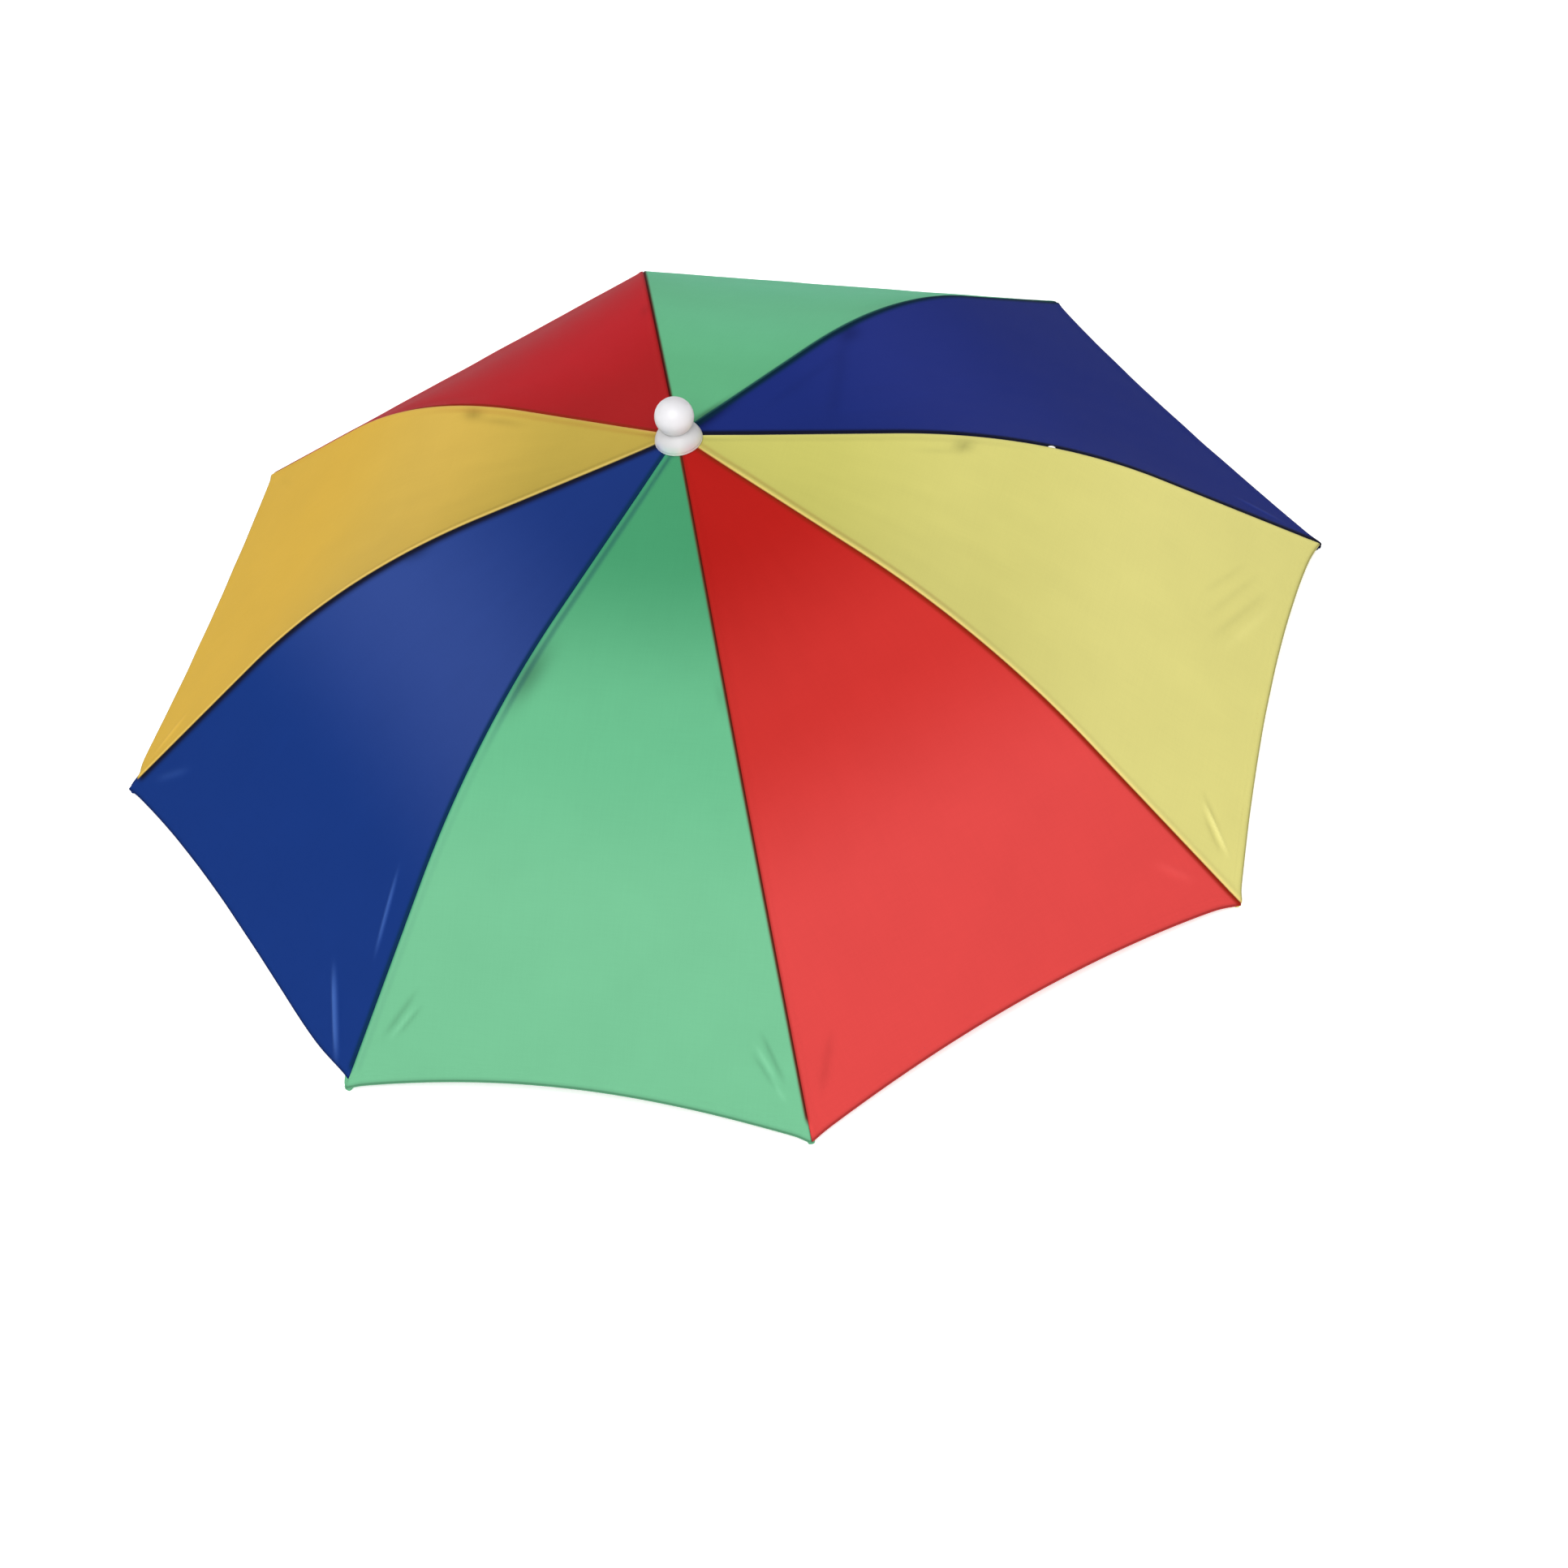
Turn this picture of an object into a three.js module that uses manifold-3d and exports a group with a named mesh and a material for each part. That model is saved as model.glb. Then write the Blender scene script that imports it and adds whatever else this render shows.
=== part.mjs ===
// Umbrella hat: eight cloth panels are stretched over eight wire ribs, which spread from a hub under
// the crown. A knob pins the cloth to the hub, and wire braces carry an elastic headband inside.
// Sizes are in millimetres and +Z is up. The origin is on the floor, under the middle of the hat,
// and the front of the hat is towards -Y. The hat rests on the feet of its ribs.

import * as THREE from "three";
import { mergeVertices } from "three/addons/utils/BufferGeometryUtils.js";
import Module from "manifold-3d";

// Canopy. A rib runs straight out from the crown, bends once, and runs straight to its tip.
const REACH = 275; // from the axis to a rib's tip
const CROWN_SLOPE = 14.8; // degrees below level, inside the bend
const RIM_SLOPE = 40.9; // degrees below level, outside the bend
const BEND_START = 91; // from the axis to the start of the bend
const BEND_RADIUS = 285;
const CLOTH = 1; // thickness of a panel
const SEAM_GAP = 0.3; // between two panels
const SAG = 5; // dip of a panel, midway between its ribs
const SCALLOP = 10; // how far the middle of a hem is cut back, along the cloth

// Ribs
const RIB_WIRE = 2.4; // diameter
const RIB_CLEARANCE = 0.5; // between a rib and the cloth over it
const RIB_START = 6; // from the axis to a rib's inner end, along the rib
const FOOT_DIAMETER = 3.2; // flat foot under a rib's tip
const FOOT_HEIGHT = 1.5;

// Hub and knob
const HUB_DIAMETER = 26;
const HUB_DEPTH = 10; // at its rim
const HUB_BOSS_DIAMETER = 15; // flat bottom of the hub
const HUB_BOSS_DEPTH = 3; // how far the bottom stands below the rim
const HUB_CLEARANCE = 0.8; // between the hub and the cloth over it
const PIN_DIAMETER = 6;
const BALL_DIAMETER = 17;
const BALL_LIFT = 11.3; // centre of the ball above the peak of the cloth
const NECK_DIAMETER = 11;
const SKIRT_DIAMETER = 20.8;
const SKIRT_EDGE = 0.9; // thickness of the skirt at its rim
const SKIRT_FLARE = 0.35; // how far out and up the skirt's curve bends, as a share from neck to rim

// Headband, with its clips
const BAND_INSIDE = 170; // inner diameter
const BAND_WIDTH = 30;
const BAND_THICKNESS = 3;
const BAND_DROP = 78; // from the bottom of the hub to the top edge of the band
const CLIP_WIDTH = 10;
const CLIP_HEIGHT = 16;
const CLIP_DEPTH = 4.6; // how far a clip stands out from the band
const CLIP_CORNER = 2;

// Braces, and the brackets that join them to the ribs
const BRACE_WIRE = 1.8; // diameter
const BRACE_SOCKET = 12; // how far a brace goes down into its clip
const BRACE_BEND = 12; // length of each side of the bend above the clip
const EYE_DIAMETER = 5; // eye at the top of a brace
const JOINT_RUN = 129; // from the axis to a bracket, along the rib
const JOINT_LENGTH = 9;
const CHEEK = 1.1; // thickness of a bracket's sides
const WEB = 1.2; // thickness of the bridge between them
const RIVET_DIAMETER = 1.4;
const RIVET_HEAD = 0.3; // how far a rivet stands out on each side

const FIT = 0.3; // between pieces that touch

// How finely the shapes are divided
const PANEL_ROWS = 12; // from crown to hem
const PANEL_COLUMNS = 8; // from rib to rib
const RIB_STEPS = 14;
const RIB_SIDES = 8;
const BRACE_STEPS = 10;
const BRACE_SIDES = 6;
const TURNED_SIDES = 24; // round the knob and the hub
const BAND_SIDES = 48;
const SMALL_SIDES = 10; // round a foot, an eye or a rivet
const FLARE_STEPS = 4;
const BALL_STEPS = 9;
const CORNER_STEPS = 2;
const MERGE = 1e-4; // vertices closer than this are one

// The ribs, clockwise from the back as seen from above. The real hat is a little uneven: turn is
// in degrees from even spacing, and reach is a share of REACH.
const RIBS = [
  { turn: 0, reach: 1.012 },
  { turn: 0, reach: 1 },
  { turn: 0, reach: 1.004 },
  { turn: 0.5, reach: 1 },
  { turn: 1, reach: 0.994 },
  { turn: -0.5, reach: 1 },
  { turn: 0, reach: 1.004 },
  { turn: -1.4, reach: 0.984 },
];

// The panels in the same order, each from its rib to the next. Scallop is a share of SCALLOP, and
// deepest is where the hem is cut back most, as a share of the way across.
const PANELS = [
  { name: "panel_green_back", colour: 0x63b187, scallop: 1, deepest: 0.5 },
  { name: "panel_blue_back", colour: 0x2b3881, scallop: 0.9, deepest: 0.45 },
  { name: "panel_yellow_right", colour: 0xd9d17f, scallop: 0.85, deepest: 0.42 },
  { name: "panel_red_front", colour: 0xd83f3c, scallop: 0.9, deepest: 0.47 },
  { name: "panel_green_front", colour: 0x7dcb9d, scallop: 1.05, deepest: 0.52 },
  { name: "panel_blue_left", colour: 0x2b4589, scallop: 0.55, deepest: 0.65 },
  { name: "panel_yellow_left", colour: 0xd2ac51, scallop: 0.75, deepest: 0.45 },
  { name: "panel_red_back", colour: 0xb23638, scallop: 1, deepest: 0.5 },
];

const WHITE_PLASTIC = { colour: 0xefeef0, roughness: 0.35, metalness: 0 };
const STEEL = { colour: 0xb9bcc0, roughness: 0.35, metalness: 0.9 };
const ELASTIC = { colour: 0xe8e6e0, roughness: 0.9, metalness: 0 };
const CLOTH_ROUGHNESS = 0.7;

const wasm = await Module();
wasm.setup();

const UP = new THREE.Vector3(0, 0, 1);
const radians = THREE.MathUtils.degToRad;
const crownSlope = radians(CROWN_SLOPE);
const rimSlope = radians(RIM_SLOPE);
const ribSpacing = (2 * Math.PI) / RIBS.length;

// A rib's three stretches: straight, bent and straight, measured along the cloth.
const bendEnd = BEND_START + BEND_RADIUS * (Math.sin(rimSlope) - Math.sin(crownSlope));
const crownRun = BEND_START / Math.cos(crownSlope);
const bendRun = BEND_RADIUS * (rimSlope - crownSlope);
const rimRun = (REACH - bendEnd) / Math.cos(rimSlope);
const ribRun = crownRun + bendRun + rimRun;

// Depths below the outer face of the cloth.
const ribDepth = CLOTH + RIB_CLEARANCE + RIB_WIRE / 2;
const hubDepth = CLOTH + HUB_CLEARANCE;

// The profile of the cloth over a rib: how far out and how far below the peak it is at a distance
// along the rib, and its slope there.
function ribProfile(distance) {
  const bent = THREE.MathUtils.clamp((distance - crownRun) / BEND_RADIUS, 0, rimSlope - crownSlope);
  const slope = crownSlope + bent;
  const inner = Math.min(distance, crownRun);
  const outer = Math.max(distance - crownRun - bendRun, 0);
  return {
    out:
      inner * Math.cos(crownSlope) +
      BEND_RADIUS * (Math.sin(slope) - Math.sin(crownSlope)) +
      outer * Math.cos(rimSlope),
    drop:
      inner * Math.sin(crownSlope) +
      BEND_RADIUS * (Math.cos(crownSlope) - Math.cos(slope)) +
      outer * Math.sin(rimSlope),
    slope,
  };
}

// The wire at a rib's tip is as high above the floor as its foot, which sets the peak's height.
const tipHeight = FOOT_HEIGHT + ribDepth * Math.cos(rimSlope);
const peak = tipHeight + ribProfile(ribRun).drop;

// A point in a rib's own plane, with X outwards: at a distance along the cloth, at a depth below
// its outer face.
function underCloth(distance, reach, depth) {
  const { out, drop, slope } = ribProfile(distance);
  const normal = new THREE.Vector2(Math.sin(slope), reach * Math.cos(slope)).normalize();
  return new THREE.Vector3(reach * out - depth * normal.x, 0, peak - drop - depth * normal.y);
}

// The height of a cone that runs parallel to the cloth near the crown, at a depth below it.
function crownHeight(radius, depth) {
  return peak - radius * Math.tan(crownSlope) - depth / Math.cos(crownSlope);
}

// The angle of a rib about +Z. The ribs go round clockwise from +Y.
function ribAngle(index) {
  return Math.PI / 2 - index * ribSpacing - radians(RIBS[index].turn);
}

// Closed solids, for cutting and joining

function solidOf(geometry) {
  const bare = geometry.clone();
  bare.deleteAttribute("normal");
  bare.deleteAttribute("uv");
  const merged = mergeVertices(bare, MERGE);
  return new wasm.Manifold(
    new wasm.Mesh({
      numProp: 3,
      vertProperties: merged.attributes.position.array,
      triVerts: merged.index.array,
    }),
  );
}

function geometryOf(solid) {
  const mesh = solid.getMesh();
  const geometry = new THREE.BufferGeometry();
  geometry.setAttribute("position", new THREE.BufferAttribute(mesh.vertProperties, 3));
  geometry.setIndex(new THREE.BufferAttribute(mesh.triVerts, 1));
  geometry.computeVertexNormals();
  return geometry;
}

function joined(first, second) {
  return geometryOf(solidOf(first).add(solidOf(second)));
}

function cut(geometry, ...tools) {
  const whole = solidOf(geometry);
  return geometryOf(tools.reduce((left, tool) => left.subtract(solidOf(tool)), whole));
}

// Basic shapes

// A profile of [radius, height] pairs, turned about +Z.
function turned(profile, sides) {
  const points = profile.map(([radius, height]) => new THREE.Vector2(radius, height));
  return new THREE.LatheGeometry(points, sides).rotateX(Math.PI / 2);
}

function cylinder(diameter, bottom, top) {
  const radius = diameter / 2;
  const profile = [
    [0, bottom],
    [radius, bottom],
    [radius, top],
    [0, top],
  ];
  return turned(profile, SMALL_SIDES);
}

// A round bar along Y, which is across a rib's plane.
function crossBar(diameter, length, centre) {
  const radius = diameter / 2;
  const bar = new THREE.CylinderGeometry(radius, radius, length, SMALL_SIDES);
  return bar.translate(centre.x, centre.y, centre.z);
}

function wireAlong(path, diameter, steps, sides) {
  const section = new THREE.Shape(
    Array.from({ length: sides }, (_, side) => {
      const angle = (2 * Math.PI * side) / sides;
      return new THREE.Vector2(Math.cos(angle), Math.sin(angle)).multiplyScalar(diameter / 2);
    }),
  );
  return new THREE.ExtrudeGeometry(section, { extrudePath: path, steps, bevelEnabled: false });
}

// An outline stood up: its width runs along Y, its height along Z, and its thickness along X.
function upright(outline, thickness) {
  const options = { depth: thickness, bevelEnabled: false, curveSegments: CORNER_STEPS };
  return new THREE.ExtrudeGeometry(outline, options)
    .translate(0, 0, -thickness / 2)
    .rotateX(Math.PI / 2)
    .rotateZ(Math.PI / 2);
}

function roundedOutline(width, height, corner) {
  const x = width / 2 - corner;
  const y = height / 2 - corner;
  const outline = new THREE.Shape();
  outline.absarc(x, y, corner, 0, Math.PI / 2);
  outline.absarc(-x, y, corner, Math.PI / 2, Math.PI);
  outline.absarc(-x, -y, corner, Math.PI, 1.5 * Math.PI);
  outline.absarc(x, -y, corner, 1.5 * Math.PI, 2 * Math.PI);
  return outline;
}

function piece(name, geometry, { colour, roughness, metalness }) {
  const material = new THREE.MeshStandardMaterial({ color: colour, roughness, metalness });
  const mesh = new THREE.Mesh(geometry, material);
  mesh.name = name;
  return mesh;
}

// Canopy panels

// One face of a panel, as a grid of points. It runs straight across from rib to rib but for the
// sag, and its hem is cut back between the ribs.
function panelFace(from, to, { scallop, deepest }, depth) {
  const edges = [
    { reach: RIBS[from].reach, angle: ribAngle(from), side: -1 },
    { reach: RIBS[to].reach, angle: ribAngle(to), side: 1 },
  ];
  const start = (PIN_DIAMETER / 2 + FIT + SEAM_GAP) / Math.cos(ribSpacing / 2);
  const lean = Math.log(0.5) / Math.log(deepest);
  const points = [];
  for (let row = 0; row <= PANEL_ROWS; row++) {
    for (let column = 0; column <= PANEL_COLUMNS; column++) {
      const across = column / PANEL_COLUMNS;
      const hem = ribRun - SCALLOP * scallop * arch(across ** lean);
      const distance = start + ((hem - start) * row) / PANEL_ROWS;
      const sag = SAG * arch(across) * Math.sin((Math.PI * distance) / ribRun) ** 2;
      const [left, right] = edges.map(({ reach, angle, side }) =>
        underCloth(distance, reach, depth + sag)
          .setY((side * SEAM_GAP) / 2)
          .applyAxisAngle(UP, angle),
      );
      points.push(left.lerp(right, across));
    }
  }
  return points;
}

// A parabola that is 0 at both ends and 1 in the middle.
function arch(share) {
  return 4 * share * (1 - share);
}

function panelGeometry(from, to, shape) {
  const outer = panelFace(from, to, shape, 0);
  const inner = panelFace(from, to, shape, CLOTH);
  const under = outer.length; // number of the first point of the inner face
  const width = PANEL_COLUMNS + 1;
  const triangles = [];
  for (let row = 0; row < PANEL_ROWS; row++) {
    for (let column = 0; column < PANEL_COLUMNS; column++) {
      const a = row * width + column;
      const b = a + 1;
      const c = b + width;
      const d = a + width;
      triangles.push(a, b, c, a, c, d);
      triangles.push(under + a, under + c, under + b, under + a, under + d, under + c);
    }
  }
  const edge = [];
  for (let column = 0; column < PANEL_COLUMNS; column++) edge.push(column);
  for (let row = 0; row < PANEL_ROWS; row++) edge.push(row * width + PANEL_COLUMNS);
  for (let column = PANEL_COLUMNS; column > 0; column--) edge.push(PANEL_ROWS * width + column);
  for (let row = PANEL_ROWS; row > 0; row--) edge.push(row * width);
  edge.forEach((here, index) => {
    const next = edge[(index + 1) % edge.length];
    triangles.push(here, under + next, next, here, under + here, under + next);
  });
  const geometry = new THREE.BufferGeometry().setFromPoints([...outer, ...inner]);
  geometry.setIndex(triangles);
  geometry.computeVertexNormals();
  return geometry;
}

// Ribs

class RibPath extends THREE.Curve {
  constructor(reach) {
    super();
    this.reach = reach;
  }

  getPoint(share) {
    return underCloth(RIB_START + (ribRun - RIB_START) * share, this.reach, ribDepth);
  }
}

function ribGeometry(reach) {
  const tip = underCloth(ribRun, reach, ribDepth);
  const foot = cylinder(FOOT_DIAMETER, 0, FOOT_HEIGHT).translate(tip.x, 0, 0);
  return joined(wireAlong(new RibPath(reach), RIB_WIRE, RIB_STEPS, RIB_SIDES), foot);
}

// Hub

const hubRadius = HUB_DIAMETER / 2;
const hubBore = PIN_DIAMETER / 2 + FIT;
const hubRim = crownHeight(hubRadius, hubDepth);
const hubBottom = hubRim - HUB_DEPTH - HUB_BOSS_DEPTH;

// A slot holds the inner end of a rib. It is open above the rib and at the hub's rim.
function ribSlot(reach, angle) {
  const depth = ribDepth + RIB_WIRE / 2 + FIT;
  return new THREE.BoxGeometry(HUB_DIAMETER, RIB_WIRE + 2 * FIT, depth)
    .translate(RIB_START - FIT + HUB_DIAMETER / 2, 0, -depth / 2)
    .rotateY(crownSlope)
    .scale(reach, 1, 1)
    .translate(0, 0, peak)
    .rotateZ(angle);
}

function hubGeometry() {
  const profile = [
    [hubBore, hubBottom],
    [HUB_BOSS_DIAMETER / 2, hubBottom],
    [hubRadius, hubRim - HUB_DEPTH],
    [hubRadius, hubRim],
    [hubBore, crownHeight(hubBore, hubDepth)],
    [hubBore, hubBottom],
  ];
  const slots = RIBS.map(({ reach }, index) => ribSlot(reach, ribAngle(index)));
  return cut(turned(profile, TURNED_SIDES), ...slots);
}

// Knob: a pin through the cloth and the hub, a flared skirt on the cloth, and a ball on its neck

function knobGeometry() {
  const pinRadius = PIN_DIAMETER / 2;
  const skirtRadius = SKIRT_DIAMETER / 2;
  const neckRadius = NECK_DIAMETER / 2;
  const ballRadius = BALL_DIAMETER / 2;
  const ballCentre = peak + BALL_LIFT;
  const neckAngle = Math.asin(neckRadius / ballRadius);
  const neck = ballCentre - ballRadius * Math.cos(neckAngle);
  const rim = crownHeight(skirtRadius, -FIT);
  const rimTop = rim + SKIRT_EDGE;
  const flare = new THREE.QuadraticBezierCurve(
    new THREE.Vector2(skirtRadius, rimTop),
    new THREE.Vector2(
      THREE.MathUtils.lerp(neckRadius, skirtRadius, SKIRT_FLARE),
      THREE.MathUtils.lerp(rimTop, neck, SKIRT_FLARE),
    ),
    new THREE.Vector2(neckRadius, neck),
  );
  const ball = Array.from({ length: BALL_STEPS }, (_, step) => {
    const angle = THREE.MathUtils.lerp(neckAngle, Math.PI, (step + 1) / BALL_STEPS);
    return [ballRadius * Math.sin(angle), ballCentre - ballRadius * Math.cos(angle)];
  });
  const profile = [
    [0, hubBottom],
    [pinRadius, hubBottom],
    [pinRadius, crownHeight(pinRadius, -FIT)],
    [skirtRadius, rim],
    ...flare.getPoints(FLARE_STEPS).map(({ x, y }) => [x, y]),
    ...ball,
  ];
  return turned(profile, TURNED_SIDES);
}

// Headband and clips

const bandInner = BAND_INSIDE / 2;
const bandOuter = bandInner + BAND_THICKNESS;
const bandTop = hubBottom - BAND_DROP;
const bandBottom = bandTop - BAND_WIDTH;

function bandGeometry() {
  const profile = [
    [bandInner, bandBottom],
    [bandOuter, bandBottom],
    [bandOuter, bandTop],
    [bandInner, bandTop],
    [bandInner, bandBottom],
  ];
  return turned(profile, BAND_SIDES);
}

// A clip stands halfway up the band, and a brace comes down into the middle of it.
const clipMiddle = (bandTop + bandBottom) / 2;
const clipTop = clipMiddle + CLIP_HEIGHT / 2;
const socketX = bandOuter + FIT + CLIP_DEPTH / 2;
const braceEnd = clipTop - BRACE_SOCKET;

function clipGeometry() {
  const outline = roundedOutline(CLIP_WIDTH, CLIP_HEIGHT, CLIP_CORNER);
  const block = upright(outline, CLIP_DEPTH).translate(socketX, 0, clipMiddle);
  const socket = cylinder(BRACE_WIRE + 2 * FIT, braceEnd - FIT, clipTop + FIT);
  return cut(block, socket.translate(socketX, 0, 0));
}

// Brackets and braces

// A bracket's own heights, measured from the middle of the rib's wire.
const webTop = -RIB_WIRE / 2 - FIT;
const rivetHeight = webTop - WEB - FIT - EYE_DIAMETER / 2;
const jointBottom = rivetHeight - EYE_DIAMETER / 2;

// The bracket's own frame at a rib: X along the rib, Z towards the cloth, origin in the wire.
function jointFrame(reach) {
  const back = underCloth(JOINT_RUN - JOINT_LENGTH / 2, reach, ribDepth);
  const front = underCloth(JOINT_RUN + JOINT_LENGTH / 2, reach, ribDepth);
  const centre = back.clone().lerp(front, 0.5);
  const along = front.sub(back).normalize();
  const across = new THREE.Vector3(0, 1, 0);
  return new THREE.Matrix4()
    .makeBasis(along, across, along.clone().cross(across))
    .setPosition(centre);
}

// The bracket is H-shaped: the rib lies in its upper channel, and the brace's eye in its lower one.
function jointGeometry(reach) {
  const inside = Math.max(RIB_WIRE, BRACE_WIRE) / 2 + FIT;
  const outside = inside + CHEEK;
  const right = [
    [inside, webTop - WEB],
    [inside, jointBottom],
    [outside, jointBottom],
    [outside, 0],
    [inside, 0],
    [inside, webTop],
  ];
  const left = right.map(([x, y]) => [-x, y]).reverse();
  const outline = new THREE.Shape([...right, ...left].map(([x, y]) => new THREE.Vector2(x, y)));
  const middle = new THREE.Vector3(0, 0, rivetHeight);
  const rivet = crossBar(RIVET_DIAMETER, 2 * (outside + RIVET_HEAD), middle);
  return joined(upright(outline, JOINT_LENGTH), rivet).applyMatrix4(jointFrame(reach));
}

// A brace runs straight down from its eye, bends above its clip and goes into the socket.
function braceGeometry(reach) {
  const pivot = new THREE.Vector3(0, 0, rivetHeight).applyMatrix4(jointFrame(reach));
  const corner = new THREE.Vector3(socketX, 0, clipTop + BRACE_BEND);
  const along = corner.clone().sub(pivot).normalize();
  const ring = (EYE_DIAMETER + RIVET_DIAMETER) / 4 + FIT / 2; // from the rivet to mid eye
  const start = pivot.clone().addScaledVector(along, ring);
  const bendStart = corner.clone().addScaledVector(along, -BRACE_BEND);
  const bendFinish = new THREE.Vector3(socketX, 0, clipTop);
  const path = new THREE.CurvePath();
  path.add(new THREE.LineCurve3(start, bendStart));
  path.add(new THREE.QuadraticBezierCurve3(bendStart, corner, bendFinish));
  path.add(new THREE.LineCurve3(bendFinish, new THREE.Vector3(socketX, 0, braceEnd)));
  const wire = wireAlong(path, BRACE_WIRE, BRACE_STEPS, BRACE_SIDES);
  const eye = crossBar(EYE_DIAMETER, BRACE_WIRE, pivot);
  const hole = crossBar(RIVET_DIAMETER + 2 * FIT, 2 * BRACE_WIRE, pivot);
  return cut(joined(wire, eye), hole);
}

// Assembly

const hat = new THREE.Group();

PANELS.forEach((panel, index) => {
  const next = (index + 1) % RIBS.length;
  const finish = { colour: panel.colour, roughness: CLOTH_ROUGHNESS, metalness: 0 };
  hat.add(piece(panel.name, panelGeometry(index, next, panel), finish));
});

RIBS.forEach(({ reach }, index) => {
  const number = index + 1;
  const spoke = new THREE.Group();
  spoke.rotation.z = ribAngle(index);
  spoke.add(piece(`rib_${number}`, ribGeometry(reach), STEEL));
  spoke.add(piece(`rib_joint_${number}`, jointGeometry(reach), WHITE_PLASTIC));
  spoke.add(piece(`brace_${number}`, braceGeometry(reach), STEEL));
  spoke.add(piece(`band_clip_${number}`, clipGeometry(), WHITE_PLASTIC));
  hat.add(spoke);
});

hat.add(piece("crown_hub", hubGeometry(), WHITE_PLASTIC));
hat.add(piece("crown_knob", knobGeometry(), WHITE_PLASTIC));
hat.add(piece("headband", bandGeometry(), ELASTIC));

export default hat;
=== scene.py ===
"""An umbrella hat: eight cloth panels stretched over a wire frame, with a crown knob and a headband.

The shapes below are worked out in millimetres, as NumPy arrays, and each piece is scaled to metres
as it is made. The ribs are numbered clockwise from the back, and panel N lies between ribs N and N + 1.
"""

import math

import bpy
import numpy as np
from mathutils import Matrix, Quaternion, Vector


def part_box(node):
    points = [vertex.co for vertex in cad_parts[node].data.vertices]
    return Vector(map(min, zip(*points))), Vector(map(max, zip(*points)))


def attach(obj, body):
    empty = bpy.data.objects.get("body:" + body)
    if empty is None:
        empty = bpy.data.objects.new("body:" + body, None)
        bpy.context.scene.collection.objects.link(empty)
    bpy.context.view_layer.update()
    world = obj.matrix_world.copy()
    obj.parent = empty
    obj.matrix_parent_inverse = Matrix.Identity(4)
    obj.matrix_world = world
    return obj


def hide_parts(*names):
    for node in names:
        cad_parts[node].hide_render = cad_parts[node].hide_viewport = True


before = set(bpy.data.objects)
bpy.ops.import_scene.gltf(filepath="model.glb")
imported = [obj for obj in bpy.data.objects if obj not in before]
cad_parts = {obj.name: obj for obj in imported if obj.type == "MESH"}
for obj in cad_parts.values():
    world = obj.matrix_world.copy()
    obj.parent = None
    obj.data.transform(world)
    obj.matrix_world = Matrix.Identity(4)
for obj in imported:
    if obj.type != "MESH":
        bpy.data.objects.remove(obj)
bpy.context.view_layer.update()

MM = 0.001

# The camera, in metres and degrees, with its lens and sensor in millimetres
CAMERA_PLACE = Vector((-0.0026, -1.2573, 1.3191))
CAMERA_AIM = Vector((0.0099, 0.6673, -0.7447))
CAMERA_ROLL = 11.0
CAMERA_LENS = 91.8
SENSOR = 36.0

# The canopy's form, the same as in the CAD: millimetres and degrees
REACH = 275
CROWN_SLOPE = 14.8
RIM_SLOPE = 40.9
BEND_START = 91
BEND_RADIUS = 285
CLOTH = 1
SEAM_GAP = 0.3
SAG = 5
SCALLOP = 10
FIT = 0.3

# The frame under it
RIB_RADIUS = 1.2
RIB_CLEARANCE = 0.5
RIB_START = 6
FOOT_HEIGHT = 1.5
JOINT_RUN = 129
JOINT_LENGTH = 9
RIVET_DEPTH = 5.5  # below the middle of the rib's wire
RIVET_RADIUS = 0.7
BRACE_RADIUS = 0.9
BRACE_BEND = 12
BRACE_SOCKET = 12
EYE_RADIUS = 2.5
BAND_THICKNESS = 3

# The knob
PIN_RADIUS = 3
SKIRT_RADIUS = 10.4
SKIRT_EDGE = 0.9
SKIRT_BELL = (0.8, 0.6)  # how far out and how far up the bend of its side is, as shares
NECK_RADIUS = 5.5
BALL_RADIUS = 8.5
BALL_LIFT = 11.3

# The cloth that shows: one thin layer, folded under at the hem and at the seams
LAYER = 0.3
EDGE_ZONE = 4.6  # width of the worked strip along a seam
NARROW = 24  # where a panel is narrower than this, that strip shrinks with it
FINE_ZONE = 0.2  # share of the width at each side that has small folds
FINE_COLUMNS = 32
PLAIN_COLUMNS = 26
PLAIN_ROWS = 70
FINE_ROWS = 62
FINE_RUN = 230  # from here to the hem the rows are close together
ALLOWANCE_RUNS = (285, 306)  # the allowance that crosses under the next panel narrows between these
ALLOWANCE_CUT = 0.88
STITCH_SHADE = 0.8  # of the hem's thread beside the cloth

# Across a seam, from the raw edge of the allowance to the panel: distance from the seam and depth
# below the panel's face. The plain side's allowance crosses under its neighbour, and the raised
# side's is folded back under itself.
PLAIN_SIDE = [
    (-6.0, 1.12), (-3.0, 1.12), (-0.6, 1.12), (-0.1, 1.08), (0.12, 0.75), (0.2, 0.4), (0.35, 0.15),
    (0.6, 0.04), (1.0, 0.0), (1.6, 0.0), (2.4, 0.0), (3.4, 0.0), (EDGE_ZONE, 0.0),
]
RAISED_SIDE = [
    (6.2, 0.72), (3.2, 0.72), (1.0, 0.72), (0.4, 0.66), (0.18, 0.48), (0.16, 0.3), (0.35, 0.05),
    (0.65, -0.14), (1.1, -0.24), (1.7, -0.26), (2.4, -0.16), (3.3, -0.04), (EDGE_ZONE, 0.0),
]
# Along a rib at the hem: distance from the hem and depth below the panel's face
HEM = [
    (-7.5, 0.0), (-6.4, 0.0), (-5.6, -0.08), (-5.0, -0.1), (-4.4, -0.02), (-3.8, -0.1), (-2.4, -0.1),
    (-1.2, -0.08), (-0.5, -0.02), (-0.2, 0.1), (0.0, 0.35), (-0.15, 0.6), (-0.6, 0.78), (-2.4, 0.8),
    (-5.0, 0.8), (-5.8, 0.72),
]


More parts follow.
